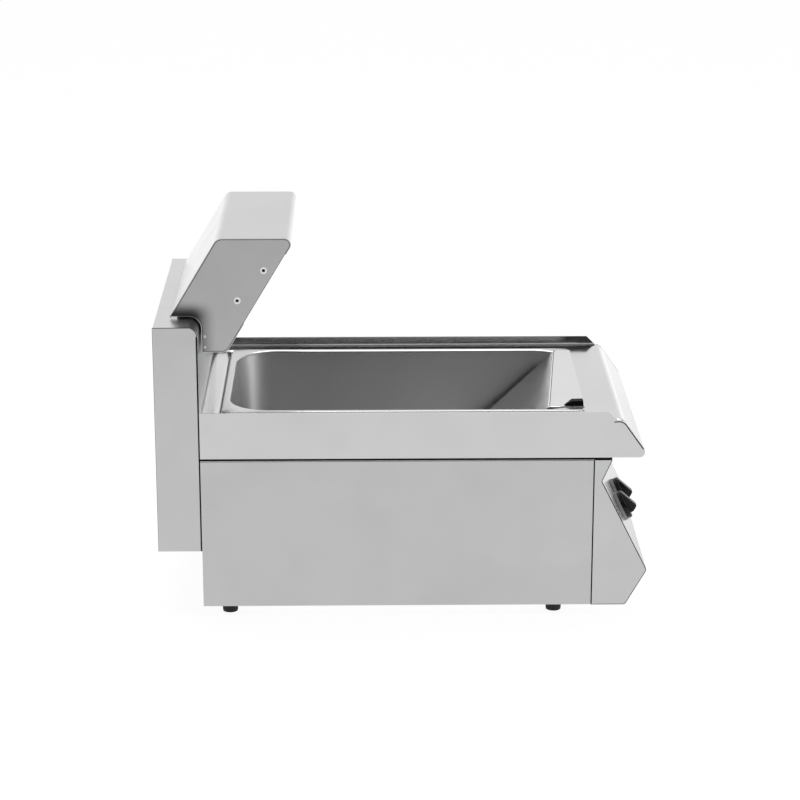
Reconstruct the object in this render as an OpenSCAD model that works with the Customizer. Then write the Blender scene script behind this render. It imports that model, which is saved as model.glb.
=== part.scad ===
// Countertop chip warmer: a stainless steel cabinet with a lift-out pan in a
// heated well, a sloped control panel with two knobs, and an infrared hood on
// a riser behind the worktop. Front is -Y, left is -X, the feet stand on z = 0.

/* [Pan] */
// Length of the pan over its flange
pan_l = 530; // [500:1:560]
// Width of the pan over its flange
pan_w = 325; // [300:1:345]
// Depth of the pan
pan_depth = 150; // [120:1:180]
// Width of the flange beside the opening
pan_flange = 10; // [9:0.5:14]
// Height of the flange's turned down edge
pan_edge_h = 4; // [3:0.5:7]
// Corner radius of the pan's opening
pan_corner_r = 48; // [40:1:50]
// Radius between the pan's walls and floor
pan_floor_r = 22; // [14:1:28]
// Inward lean of each wall over the pan's depth
pan_draw_in = 6; // [3:0.5:9]
// Pan sheet
pan_t = 1; // [0.8:0.1:1.2]

/* [Chip tray] */
// Room at each side between the pan's opening and the tray
tray_side_gap = 6.5; // [5:0.5:20]
// Lip from the pan's front edge to the fold, at mid width
lip_l = 39; // [34:1:48]
// How far the fold runs out of square, side to side
fold_skew = 27; // [0:1:30]
// Fall of the ramp below the horizontal, in degrees
ramp_angle = 43; // [38:1:50]
// Width that the ramp loses on its way down
ramp_taper = 26; // [20:1:36]
// Height of the perforated floor above the pan's floor
floor_lift = 22; // [16:1:30]
// Diameter of the drain holes
drain_hole_d = 10; // [6:0.5:12]
// Spacing of the drain holes
drain_pitch = 30; // [24:1:32]
// Length of the black lifting grip
grip_l = 27; // [20:1:34]
// Width of the grip
grip_w = 12; // [8:0.5:16]
// Height of the grip
grip_h = 6.5; // [4:0.5:10]

/* [Worktop] */
// Deck between the pan and the riser
rear_land = 30.5; // [28:0.5:50]
// Open slot in the deck behind the pan's flange
rear_slot = 4; // [1:0.5:6]
// Deck between the pan's flange and each side
side_land = 37.5; // [34:0.5:60]
// Deck between the pan's flange and the control panel's seam
front_land = 9.5; // [8:0.5:20]
// Height of the rim above the deck
rim_h = 13; // [8:0.5:20]
// Worktop side band below the deck
band_h = 56; // [50:1:70]
// Deck in front of the control panel's seam, up to the nose's bend
nose_reach = 42; // [34:1:50]
// Fall of the nose below the horizontal, in degrees
nose_angle = 54.7; // [48:0.1:58]
// Bend radius at the top of the nose
nose_top_r = 14; // [6:0.5:16]
// Bend radius at the bottom of the nose
nose_low_r = 8; // [5:0.5:12]
// Worktop sheet
deck_t = 1.5; // [1.2:0.1:2]

/* [Body] */
// Height of the side panels
side_h = 226; // [215:1:260]
// Dark gap between the side panels and the worktop band
reveal = 3; // [2:0.5:8]
// Casing sheet
sheet_t = 1.2; // [1:0.1:1.5]
// Height of the feet
foot_h = 15; // [10:1:25]
// Diameter of the feet
foot_d = 25; // [20:1:32]
// Foot centres from the side of the body
foot_side_inset = 25; // [20:1:40]
// Front foot centres from the control panel's seam
foot_front_inset = 53; // [30:1:80]
// Rear foot centres from the back of the body
foot_rear_inset = 38; // [30:1:80]

/* [Control panel] */
// Reach of the panel's top edge in front of the seam
panel_top_reach = 28; // [24:1:34]
// Reach of the notch under the worktop
notch_reach = 13; // [10:1:18]
// Fall from the panel's top edge to the notch
notch_drop = 34; // [28:1:38]
// Lean of the knob face from the vertical, in degrees
face_lean = 26.6; // [22:0.2:29]
// Height of the panel's nose above its bottom edge
nose_lift = 54.5; // [45:0.5:66]
// Bend radius of the panel's nose
panel_nose_r = 8; // [4:0.5:12]
// Reach of the panel's bottom edge in front of the seam
panel_foot_reach = 51; // [42:1:58]
// Distance of the knobs down the face from the notch
knob_drop = 78; // [70:1:88]
// Place of the thermostat knob across the width
thermostat_x = -114; // [-125:1:-95]
// Place of the switch knob across the width
switch_x = -53; // [-62:1:-36]
// Diameter of the knobs
knob_d = 43; // [38:0.5:44]
// Height of the knobs' low end above the face
knob_low_h = 13; // [12:0.5:16]
// Height of the knobs' high end above the face
knob_high_h = 24.5; // [20:0.5:28]
// Width of the knobs' grip bar
knob_bar_w = 12; // [9:0.5:15]
// Outer diameter of the bezels under the knobs
bezel_d = 45; // [40:0.5:50]
// Height of the bezels
bezel_h = 5; // [3:0.5:7]
// Diameter of the knob shafts
shaft_d = 6; // [5:0.5:8]

/* [Riser] */
// Depth of the riser
riser_d = 64; // [56:1:90]
// Height of the riser
riser_h = 339.5; // [320:0.5:380]
// Bottom of the riser above the bottom of the side panels
riser_lift = 87; // [70:1:110]
// Bend radius at the riser's top front edge
riser_r = 15; // [8:0.5:18]

/* [Hood] */
// Height of the hood above the riser
hood_rise = 118.5; // [105:0.5:150]
// Depth of the hood's top, between its two slopes
hood_d = 113.5; // [104:0.5:125]
// Forward lean of the hood, in degrees from the vertical
hood_lean = 31; // [27:0.5:34]
// Neck of the hood below the riser's top
neck_drop = 50.5; // [44:0.5:60]
// Reach of the neck in front of the riser
neck_reach = 39.5; // [36:0.5:48]
// Bend radius at the hood's front top edge
hood_front_r = 9.5; // [5:0.5:10]
// Bend radius at the hood's rear top edge
hood_rear_r = 14; // [6:0.5:18]
// Diameter of the quartz heat lamps
lamp_d = 12; // [10:0.5:14]
// Length of the quartz heat lamps
lamp_l = 248; // [220:1:260]
// Room between a lamp's end and the outside of the hood, for its socket
lamp_room = 28; // [26:1:45]
// Diameter of the grille wires
wire_d = 2.5; // [2:0.25:3]

/* [Hidden] */

$fn = 48;
arc_steps = 8;
turn = 360;
overrun = 1;
fit_gap = 0.3;
turn_gap = 0.05;

steel = [0.78, 0.78, 0.79];
polished = [0.86, 0.86, 0.87];
dark_steel = [0.45, 0.45, 0.46];
black = [0.06, 0.06, 0.06];
wool = [0.88, 0.84, 0.72];
ceramic_white = [0.93, 0.92, 0.88];
quartz_red = [0.75, 0.25, 0.15];

// Geometry helpers: profiles are lists of points, corners are rounded by arcs
function unit(v) = v / norm(v);
function left_of(v) = [-v.y, v.x] / norm(v);
function fillet(a, b, c, r) =
    let (
        u = unit(a - b),
        w = unit(c - b),
        half = acos(u * w) / 2,
        centre = b + unit(u + w) * r / sin(half),
        start = b + u * r / tan(half) - centre,
        finish = b + w * r / tan(half) - centre,
        from = atan2(start.y, start.x),
        sweep = (atan2(finish.y, finish.x) - from + 1.5 * turn) % turn - turn / 2
    )
    [for (i = [0:arc_steps]) centre + r * [cos(from + sweep * i / arc_steps), sin(from + sweep * i / arc_steps)]];
function open_path(p, r) =
    [for (i = [0:len(p) - 1]) each
        i == 0 || i == len(p) - 1 || r[i] == 0 ? [p[i]] : fillet(p[i - 1], p[i], p[i + 1], r[i])];
function closed_path(p, r) =
    let (n = len(p))
    [for (i = [0:n - 1]) each r[i] == 0 ? [p[i]] : fillet(p[(i + n - 1) % n], p[i], p[(i + 1) % n], r[i])];
function beside(p, d) =
    let (last = len(p) - 1)
    [for (i = [0:last])
        let (
            before = left_of(p[max(i, 1)] - p[max(i, 1) - 1]),
            after = left_of(p[min(i, last - 1) + 1] - p[min(i, last - 1)])
        )
        p[i] + (before + after) * d / (1 + before * after)];
function backwards(p) = [for (i = [len(p) - 1:-1:0]) p[i]];
function lowest(p, k) = min([for (q = p) q[k]]);
function round_box(l, w, r) =
    closed_path([[-w / 2, -l / 2], [w / 2, -l / 2], [w / 2, l / 2], [-w / 2, l / 2]], [r, r, r, r]);

// A profile drawn in (y, z) and carried along x, from x0 to x1
module along_x(x0, x1) {
    translate([x0, 0, 0])
        rotate([90, 0, 90])
            linear_extrude(x1 - x0)
                children();
}

// A profile drawn in (x, z) and carried along y, from y0 to y1
module along_y(y0, y1) {
    translate([0, y1, 0])
        rotate([90, 0, 0])
            linear_extrude(y1 - y0)
                children();
}

// Sheet of thickness t on the left of a path, or on its right where t is negative
module sheet(path, t) {
    polygon(concat(path, backwards(beside(path, t))));
}

module box_at(low, high) {
    translate(low)
        cube(high - low);
}

module both_sides() {
    children();
    mirror([1, 0, 0])
        children();
}

// Overall sizes
body_w = pan_w + 2 * side_land;
body_d = rear_land + pan_l + front_land;
half_w = body_w / 2;
inner_half_w = half_w - sheet_t;

// Control panel's outline, measured from the seam and the bottom edge
panel_h = side_h;
notch_at = [-notch_reach, panel_h - notch_drop];
nose_at = [-notch_reach - (notch_at.y - nose_lift) * tan(face_lean), nose_lift];
panel_foot_r = 5;
panel_fold_r = 1.5;
panel_corners = [
    [0, panel_h], [-panel_top_reach, panel_h], notch_at, nose_at, [-panel_foot_reach, 0], [0, 0]
];
panel_rel = open_path(panel_corners, [0, panel_fold_r, panel_fold_r, panel_nose_r, panel_foot_r, 0]);
panel_reach = -lowest(panel_rel, 0);

// Places along y and z
overall_d = riser_d + body_d + panel_reach;
y_riser = overall_d / 2;
y_back = y_riser - riser_d;
y_seam = y_back - body_d;
z_side = foot_h;
z_side_top = z_side + side_h;
z_band = z_side_top + reveal;
z_deck = z_band + band_h;
z_rim = z_deck + rim_h;
z_riser = z_side + riser_lift;
z_riser_top = z_riser + riser_h;
panel_path = [for (p = panel_rel) [y_seam + p.x, z_side + p.y]];

// Side panels
side_low_flange = 48;
side_top_flange = 22;
side_bend_r = 2;
module side_panel() {
    path = open_path(
        [[side_low_flange - half_w, z_side], [-half_w, z_side], [-half_w, z_side_top], [side_top_flange - half_w, z_side_top]],
        [0, side_bend_r, side_bend_r, 0]);
    color(steel)
        difference() {
            along_y(y_seam, y_back)
                sheet(path, -sheet_t);
            foot_holes();
        }
}
module left_side_panel() {
    side_panel();
}
module right_side_panel() {
    mirror([1, 0, 0])
        side_panel();
}

// Feet and the screws that hold them
foot_screw_d = 6;
foot_screw_fit = 0.1;
foot_taper = 1.5;
foot_recess_d = 13;
foot_recess_h = 5;
foot_nut_d = 11.5;
foot_nut_h = 5;
foot_places = [for (x = [-1, 1], y = [y_seam + foot_front_inset, y_back - foot_rear_inset])
    [x * (half_w - foot_side_inset), y, 0]];
module foot_holes() {
    for (p = foot_places)
        translate(p)
            cylinder(h = z_side + 3 * sheet_t, d = foot_screw_d + 2 * foot_screw_fit);
}
module feet() {
    color(black)
        for (p = foot_places)
            translate(p)
                rotate_extrude()
                    polygon([
                        [foot_recess_d / 2, 0], [foot_d / 2 - foot_taper, 0], [foot_d / 2, foot_h],
                        [foot_screw_d / 2 + foot_screw_fit, foot_h], [foot_screw_d / 2 + foot_screw_fit, foot_recess_h],
                        [foot_recess_d / 2, foot_recess_h]
                    ]);
}
module foot_screws() {
    head_d = foot_recess_d - foot_taper;
    head_h = foot_recess_h - foot_taper;
    color(dark_steel)
        for (p = foot_places)
            translate(p) {
                translate([0, 0, foot_recess_h - head_h])
                    cylinder(h = head_h, d = head_d);
                translate([0, 0, foot_recess_h])
                    cylinder(h = z_side + 2 * sheet_t + foot_nut_h - foot_recess_h, d = foot_screw_d);
                translate([0, 0, z_side + 2 * sheet_t])
                    cylinder(h = foot_nut_h, d = foot_nut_d, $fn = 6);
            }
}

// Base plate, on the side panels' lower flanges
vent_l = 60;
vent_w = 6;
vent_pitch_x = 90;
vent_pitch_y = 24;
vent_rows = 5;
base_gap = 2;
module base_plate() {
    z = z_side + sheet_t;
    color(steel)
        difference() {
            box_at([base_gap - inner_half_w, y_seam, z], [inner_half_w - base_gap, y_back, z + sheet_t]);
            foot_holes();
            for (i = [-1, 0, 1], j = [0:vent_rows - 1])
                translate([i * vent_pitch_x - vent_l / 2, vent_pitch_y * (j - vent_rows / 2), z - overrun])
                    cube([vent_l, vent_w, sheet_t + 2 * overrun]);
        }
}

// Back panel, with the holes for the mains gland and the hood's cable
z_base_top = z_side + 2 * sheet_t;
gland_inset = 50;
gland_x = half_w - gland_inset;
gland_rise = 42;
gland_z = z_side + gland_rise;
gland_thread_d = 16;
hood_half_w = lamp_l / 2 + lamp_room;
cable_cheek_inset = 34;
cable_x = hood_half_w - cable_cheek_inset;
cable_d = 7;
grommet_hole_d = 14;
body_cable_rise = 60;
body_cable_z = z_riser + body_cable_rise;
module back_panel() {
    low = y_back - sheet_t;
    color(steel)
        difference() {
            box_at([-inner_half_w, low, z_base_top], [inner_half_w, y_back, z_side_top - sheet_t]);
            y_hole(gland_x, low - overrun, gland_z, sheet_t + 2 * overrun, gland_thread_d);
            y_hole(cable_x, low - overrun, body_cable_z, sheet_t + 2 * overrun, grommet_hole_d);
            for (p = riser_bolt_places)
                y_hole(p.x, low - overrun, p.y, sheet_t + 2 * overrun, bolt_d);
        }
}

// Bulkhead between the heated well and the control panel
bulkhead_hole_d = 16;
module control_bulkhead() {
    color(steel)
        difference() {
            box_at([-inner_half_w, y_seam, z_base_top], [inner_half_w, y_seam + sheet_t, z_side_top - sheet_t]);
            for (x = [-heater_leg_x, heater_leg_x])
                y_hole(x, y_seam - overrun, heater_z, sheet_t + 2 * overrun, bulkhead_hole_d);
            y_hole(half_w - control_cable_wall, y_seam - overrun, z_control_cable, sheet_t + 2 * overrun,
                control_hole_d);
        }
}

// Worktop: bent deck with its nose, a band and rim at each side, and the pan's cut-out
cut_gap = 2;
slot_inset = 1.5;
slot_run = 9;
rim_hem = 1.5;
nose_return = 34;
nose_corner = [y_seam - nose_reach, z_deck];
nose_tip = [nose_corner.x - band_h / tan(nose_angle), z_band];
pan_y = y_back - rear_land - pan_l / 2;
pan_open_l = pan_l - 2 * pan_flange;
pan_open_w = pan_w - 2 * pan_flange;
module worktop() {
    deck_path = open_path(
        [[y_back, z_deck], nose_corner, nose_tip, nose_tip + [nose_return, 0]],
        [0, nose_top_r, nose_low_r, 0]);
    bend_l = nose_top_r * tan(nose_angle / 2) + fit_gap;
    band_path = closed_path(
        [[y_back, z_band], [y_back, z_rim], [nose_corner.x + bend_l + rim_h, z_rim], [nose_corner.x + bend_l, z_deck],
            nose_corner, nose_tip],
        [0, 0, 0, 0, nose_top_r, nose_low_r]);
    hem_path = [
        [y_back, z_deck], [y_back, z_rim], [nose_corner.x + bend_l + rim_h, z_rim], [nose_corner.x + bend_l, z_deck]
    ];
    color(polished)
        difference() {
            union() {
                along_x(deck_t - half_w, half_w - deck_t)
                    sheet(deck_path, deck_t);
                both_sides() {
                    along_x(-half_w, deck_t - half_w)
                        polygon(band_path);
                    along_x(deck_t - half_w, deck_t + rim_hem - half_w)
                        polygon(hem_path);
                }
            }
            translate([0, pan_y, z_deck - deck_t - overrun])
                linear_extrude(deck_t + 2 * overrun)
                    polygon(round_box(
                        pan_open_l + 2 * (pan_t + cut_gap), pan_open_w + 2 * (pan_t + cut_gap),
                        pan_corner_r + pan_t + cut_gap));
            box_at([slot_inset - pan_w / 2, pan_y + pan_l / 2 - slot_run, z_deck - deck_t - overrun],
                [pan_w / 2 - slot_inset, pan_y + pan_l / 2 + rear_slot, z_deck + overrun]);
        }
}

// Rails that carry the worktop on the side panels
rail_inset = 4;
rail_foot = 15;
rail_top = 15;
rail_end_gap = 6;
module deck_rails() {
    foot_x = rail_inset - half_w;
    path = open_path(
        [[foot_x, z_side_top], [foot_x + rail_foot, z_side_top], [foot_x + rail_foot, z_deck - deck_t - sheet_t],
            [foot_x + rail_foot + rail_top, z_deck - deck_t - sheet_t]],
        [0, side_bend_r, side_bend_r, 0]);
    color(steel)
        both_sides()
            along_y(y_seam + rail_end_gap, y_back - rail_end_gap)
                sheet(path, sheet_t);
}

// Heated well that hangs under the deck, round the pan
well_gap = 8;
well_t = 1;
well_flange = 3;
heater_space = 34;
z_pan_floor = z_deck + pan_edge_h - pan_depth;
z_well = z_pan_floor - heater_space;
well_half_w = pan_open_w / 2 + pan_t + well_gap;
well_half_l = pan_open_l / 2 + pan_t + well_gap;
heater_hole_gap = 0.2;
module well_box() {
    top = z_deck - deck_t;
    color(dark_steel)
        difference() {
            translate([0, pan_y, 0]) {
                box_at([-well_half_w - well_t, -well_half_l - well_t, z_well - well_t],
                    [well_half_w + well_t, well_half_l + well_t, top]);
                box_at([-well_half_w - well_flange, -well_half_l - well_flange, top - well_t],
                    [well_half_w + well_flange, well_half_l + well_flange, top]);
            }
            translate([0, pan_y, 0])
                box_at([-well_half_w, -well_half_l, z_well], [well_half_w, well_half_l, top + overrun]);
            for (x = [-heater_leg_x, heater_leg_x])
                y_hole(x, pan_y - well_half_l - well_t - overrun, heater_z, well_t + 2 * overrun,
                    heater_d + 2 * heater_hole_gap);
        }
}

// Sheathed heating element under the pan, bent into four legs, and its supports
heater_d = 8;
heater_pitch = 60;
heater_lift = 12;
heater_end_gap = 40;
heater_tail = 14;
heater_leg_x = 1.5 * heater_pitch;
heater_z = z_well + heater_lift + heater_d / 2;
module heater_leg(x, y0, y1) {
    translate([x, y1, heater_z])
        rotate([90, 0, 0])
            cylinder(h = y1 - y0, d = heater_d);
}
module heater_bend(x, y, turn) {
    translate([x, y, heater_z])
        rotate([0, 0, turn])
            rotate_extrude(angle = 180)
                translate([heater_pitch / 2, 0])
                    circle(d = heater_d);
}
module base_heater() {
    rear = pan_y + well_half_l - heater_end_gap - heater_pitch / 2;
    front = pan_y - well_half_l + heater_end_gap + heater_pitch / 2;
    color(dark_steel) {
        for (x = [-heater_leg_x, heater_leg_x])
            heater_leg(x, y_seam - heater_tail, rear);
        for (x = [-heater_pitch / 2, heater_pitch / 2])
            heater_leg(x, front, rear);
        for (x = [-heater_pitch, heater_pitch])
            heater_bend(x, rear, 0);
        heater_bend(0, front, 180);
    }
}
support_w = 20;
support_overhang = 14;
support_places_share = [-0.3, 0, 0.3];
module heater_supports() {
    color(steel)
        for (s = support_places_share)
            translate([0, pan_y + s * pan_open_l, z_well])
                difference() {
                    translate([-heater_leg_x - support_overhang, -support_w / 2, 0])
                        cube([2 * (heater_leg_x + support_overhang), support_w, heater_lift]);
                    translate([-heater_leg_x - support_overhang - overrun, sheet_t - support_w / 2, -overrun])
                        cube([2 * (heater_leg_x + support_overhang + overrun), support_w - 2 * sheet_t,
                            heater_lift - sheet_t + overrun]);
                }
}

// Insulation under the well, held by a shield that clasps the well's sides
slab_t = 20;
shield_wrap = 30;
module insulation_slab() {
    color(wool)
        translate([0, pan_y, 0])
            box_at([-well_half_w - well_t, -well_half_l - well_t, z_well - well_t - slab_t],
                [well_half_w + well_t, well_half_l + well_t, z_well - well_t]);
}
module heat_shield() {
    x = well_half_w + well_t + sheet_t;
    low = z_well - well_t - slab_t - sheet_t;
    color(steel)
        along_y(pan_y - well_half_l, pan_y + well_half_l)
            sheet([[-x, z_well + shield_wrap], [-x, low], [x, low], [x, z_well + shield_wrap]], sheet_t);
}

// Control panel and its end caps
cap_gap = 1.5;
cap_tab_l = 22;
cap_tab_w = 16;
panel_screw_d = 4;
panel_head_d = 8;
panel_head_h = 1.6;
panel_screw_inset = 12;
panel_screw_l = 8;
shaft_hole_d = shaft_d + 4;
module on_face(x, down) {
    translate([x, y_seam, z_side])
        translate([0, notch_at.x, notch_at.y])
            rotate([90 - face_lean, 0, 0])
                translate([0, -down, 0])
                    children();
}
module on_brow(x) {
    brow = [notch_at.x + panel_top_reach, panel_h - notch_at.y];
    translate([x, y_seam, z_side])
        translate([0, (notch_at.x - panel_top_reach) / 2, (notch_at.y + panel_h) / 2])
            rotate([90 + atan2(brow.x, brow.y), 0, 0])
                children();
}
module panel_screw_cuts() {
    both_sides()
        on_brow(panel_screw_inset - half_w)
            translate([0, 0, -2 * sheet_t - overrun])
                cylinder(h = 2 * sheet_t + 2 * overrun, d = panel_screw_d);
}
module front_panel() {
    color(polished)
        difference() {
            along_x(-inner_half_w, inner_half_w)
                sheet(panel_path, sheet_t);
            for (x = [thermostat_x, switch_x])
                on_face(x, knob_drop)
                    translate([0, 0, -sheet_t - overrun])
                        cylinder(h = sheet_t + 2 * overrun, d = shaft_hole_d);
            panel_screw_cuts();
        }
}
module panel_screws() {
    color(dark_steel)
        both_sides()
            on_brow(panel_screw_inset - half_w) {
                cylinder(h = panel_head_h, d1 = panel_head_d, d2 = panel_head_d - panel_head_h);
                translate([0, 0, -panel_screw_l])
                    cylinder(h = panel_screw_l, d = panel_screw_d);
            }
}
module end_cap() {
    color(steel)
        difference() {
            union() {
                intersection() {
                    along_x(-half_w, -inner_half_w)
                        polygon(panel_path);
                    box_at([-half_w - overrun, y_seam - panel_reach - overrun, z_side - overrun],
                        [half_w, y_seam - cap_gap, z_side_top + overrun]);
                }
                on_brow(-half_w)
                    box_at([sheet_t, -cap_tab_w / 2, -2 * sheet_t], [cap_tab_l, cap_tab_w / 2, -sheet_t]);
            }
            panel_screw_cuts();
        }
}
module left_end_cap() {
    end_cap();
}
module right_end_cap() {
    mirror([1, 0, 0])
        end_cap();
}

// Thermostat and switch behind the panel, their shafts, bezels and knobs
thermostat_d = 36;
thermostat_h = 30;
switch_size = 34;
switch_h = 36;
shaft_depth = 18;
knob_wall = 3;
knob_bar_back = 1.2;
knob_bar_tip = 7.5;
knob_bar_end = 14;
knob_tip_h = 3.3;
knob_step_h = 8;
knob_body_h = 6.7;
hub_d = 16;
bezel_taper = 0.8;
module control_bore() {
    translate([0, 0, -sheet_t - shaft_depth - fit_gap])
        cylinder(h = shaft_depth + fit_gap + overrun, d = shaft_d + 2 * turn_gap);
}
module thermostat() {
    color(dark_steel)
        on_face(thermostat_x, knob_drop)
            difference() {
                union() {
                    translate([0, 0, -sheet_t - thermostat_h])
                        cylinder(h = thermostat_h, d = thermostat_d);
                    translate([-thermostat_d / 2, -thermostat_d / 4, -sheet_t - thermostat_h])
                        cube([thermostat_d, thermostat_d / 2, thermostat_h / 2]);
                }
                control_bore();
            }
}
module rotary_switch() {
    color(black)
        on_face(switch_x, knob_drop)
            difference() {
                translate([-switch_size / 2, -switch_size / 2, -sheet_t - switch_h])
                    cube([switch_size, switch_size, switch_h]);
                control_bore();
            }
}
module shaft() {
    translate([0, 0, -sheet_t - shaft_depth])
        cylinder(h = sheet_t + shaft_depth + knob_low_h - knob_wall, d = shaft_d);
}
module thermostat_shaft() {
    color(dark_steel)
        on_face(thermostat_x, knob_drop)
            shaft();
}
module switch_shaft() {
    color(dark_steel)
        on_face(switch_x, knob_drop)
            shaft();
}
module knob_bezels() {
    bore_r = hub_d / 2 + fit_gap;
    color(dark_steel)
        for (x = [thermostat_x, switch_x])
            on_face(x, knob_drop)
                rotate_extrude()
                    polygon([
                        [bore_r, 0], [bezel_d / 2, 0], [bezel_d / 2 - bezel_taper, bezel_h], [bore_r, bezel_h]
                    ]);
}
module knob() {
    body_low = bezel_h + fit_gap;
    body_top = body_low + knob_body_h;
    color(black)
        difference() {
            union() {
                translate([0, 0, fit_gap])
                    cylinder(h = body_low, d = hub_d);
                translate([0, 0, body_low])
                    cylinder(h = knob_body_h, d = knob_d);
                translate([-knob_bar_w / 2, 0, 0])
                    rotate([90, 0, 90])
                        linear_extrude(knob_bar_w)
                            polygon([
                                [knob_d / 2 - knob_bar_back, body_top - overrun],
                                [knob_d / 2 - knob_bar_back, knob_low_h],
                                [-knob_bar_tip, knob_high_h], [-knob_bar_tip - knob_tip_h, knob_high_h - knob_tip_h],
                                [-knob_bar_end, knob_high_h - knob_step_h], [-knob_bar_end, body_top - overrun]
                            ]);
            }
            cylinder(h = knob_low_h - knob_wall, d = shaft_d);
        }
}
module thermostat_knob() {
    on_face(thermostat_x, knob_drop)
        knob();
}
module switch_knob() {
    on_face(switch_x, knob_drop)
        knob();
}

// Riser: bent cover, two ends, and a back panel with its floor
riser_rear_r = 2;
riser_tab = 10;
module y_hole(x, y, z, h, d) {
    translate([x, y + h, z])
        rotate([90, 0, 0])
            cylinder(h = h, d = d);
}
module riser_cover() {
    path = open_path(
        [[y_back, z_riser], [y_back, z_riser_top], [y_riser, z_riser_top], [y_riser, z_riser_top - riser_tab]],
        [0, riser_r, riser_rear_r, 0]);
    color(polished)
        difference() {
            along_x(-half_w, half_w)
                sheet(path, -sheet_t);
            for (z = [hood_cable_z, body_cable_z])
                y_hole(cable_x, y_back - overrun, z, sheet_t + 2 * overrun, grommet_hole_d);
            for (p = riser_bolt_places)
                y_hole(p.x, y_back - overrun, p.y, sheet_t + 2 * overrun, bolt_d);
            hood_bolt_cuts();
        }
}
riser_screw_d = 4;
riser_head_d = 8;
riser_screw_l = 8;
riser_screw_inset = 14;
riser_screw_drop = 40;
riser_end_flange = 22;
riser_screw_places = [for (x = [-1, 1], z = [z_riser + riser_screw_drop, z_riser_top - riser_screw_drop])
    [x * (half_w - riser_screw_inset), z]];
module riser_screw_holes() {
    for (p = riser_screw_places)
        y_hole(p.x, y_riser - riser_screw_l, p.y, riser_screw_l + overrun, riser_screw_d);
}
module riser_end() {
    rear = y_riser - sheet_t;
    color(steel)
        difference() {
            union() {
                along_x(-half_w, -inner_half_w)
                    polygon(closed_path(
                        [[y_back + sheet_t, z_riser], [y_back + sheet_t, z_riser_top - sheet_t],
                            [rear, z_riser_top - sheet_t], [rear, z_riser]],
                        [0, riser_r - sheet_t, 0, 0]));
                box_at([-inner_half_w, rear - 2 * sheet_t, z_riser + riser_tab],
                    [riser_end_flange - half_w, rear - sheet_t, z_riser_top - riser_tab]);
            }
            riser_screw_holes();
        }
}
module riser_left_end() {
    riser_end();
}
module riser_right_end() {
    mirror([1, 0, 0])
        riser_end();
}
module riser_back_panel() {
    path = open_path(
        [[y_back + sheet_t, z_riser], [y_riser - sheet_t, z_riser], [y_riser - sheet_t, z_riser_top - riser_rear_r]],
        [0, riser_rear_r, 0]);
    color(steel)
        difference() {
            along_x(-inner_half_w, inner_half_w)
                sheet(path, sheet_t);
            riser_screw_holes();
        }
}
module riser_screws() {
    color(dark_steel)
        for (p = riser_screw_places) {
            y_hole(p.x, y_riser - riser_screw_l, p.y, riser_screw_l - sheet_t, riser_screw_d);
            y_hole(p.x, y_riser - sheet_t, p.y, sheet_t, riser_head_d);
        }
}

// Bolts with nuts: four hold the riser on the body, four hold the hood on the riser
bolt_d = 5;
bolt_head_d = 9;
bolt_head_h = 3;
bolt_nut_d = 9.2;
bolt_nut_h = 4;
bolt_tail = 2;
riser_bolt_x = 160;
riser_bolt_inset = 22;
riser_bolt_places = [for (x = [-1, 1], z = [z_riser + riser_bolt_inset, z_side_top - riser_bolt_inset])
    [x * riser_bolt_x, z]];
module bolt(grip) {
    translate([0, 0, grip])
        cylinder(h = bolt_head_h, d1 = bolt_head_d, d2 = bolt_head_d - bolt_head_h);
    translate([0, 0, -bolt_nut_h - bolt_tail])
        cylinder(h = grip + bolt_nut_h + bolt_tail, d = bolt_d);
    translate([0, 0, -bolt_nut_h])
        cylinder(h = bolt_nut_h, d = bolt_nut_d, $fn = 6);
}
module riser_bolts() {
    color(dark_steel)
        for (p = riser_bolt_places)
            translate([p.x, y_back - sheet_t, p.y])
                rotate([-90, 0, 0])
                    bolt(2 * sheet_t);
}
seat_gap = 3;
spacer_d = 14;
hood_bolt_inset = 52;
hood_bolt_x = hood_half_w - hood_bolt_inset;
hood_bolt_depth_share = 0.42;
hood_bolt_drop_share = 0.62;
module at_hood_bolts() {
    for (x = [-hood_bolt_x, hood_bolt_x]) {
        translate([x, y_back + hood_bolt_depth_share * riser_d, z_riser_top])
            children();
        translate([x, y_back, z_riser_top - hood_bolt_drop_share * neck_drop])
            rotate([90, 0, 0])
                children();
    }
}
module hood_bolt_cuts() {
    at_hood_bolts()
        translate([0, 0, -sheet_t - overrun])
            cylinder(h = seat_gap + 2 * sheet_t + 2 * overrun, d = bolt_d);
}
module hood_spacers() {
    color(dark_steel)
        at_hood_bolts()
            difference() {
                cylinder(h = seat_gap, d = spacer_d);
                translate([0, 0, -overrun])
                    cylinder(h = seat_gap + 2 * overrun, d = bolt_d);
            }
}
module hood_bolts() {
    color(dark_steel)
        at_hood_bolts()
            translate([0, 0, -sheet_t])
                bolt(seat_gap + 2 * sheet_t);
}

// Hood: outline in (y, z), round the riser's top front corner
hood_cheek_x = hood_half_w - sheet_t;
z_hood_top = z_riser_top + hood_rise;
z_neck = z_riser_top - neck_drop;
hood_cable_z = z_neck + neck_drop / 2;
y_seat = y_back - seat_gap;
z_seat = z_riser_top + seat_gap;
hood_low = [y_back - neck_reach, z_neck];
hood_front = [hood_low.x - (z_hood_top - z_neck) * tan(hood_lean), z_hood_top];
hood_rear = [hood_front.x + hood_d, z_hood_top];
hood_heel = [hood_rear.x + (z_hood_top - z_seat) * tan(hood_lean), z_seat];
hood_up = [-sin(hood_lean), cos(hood_lean)];
hood_in = [cos(hood_lean), sin(hood_lean)];
hood_slope_l = (z_hood_top - z_neck) / cos(hood_lean);
hood_low_r = 14;
hood_fold_r = 2;
hood_return = 10;
hood_low_l = 48;
hood_lip_l = 28;
heel_gap = 2.5;
mouth_l = hood_slope_l - hood_lip_l - hood_low_l;
cheek_gap = 0.1;
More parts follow.
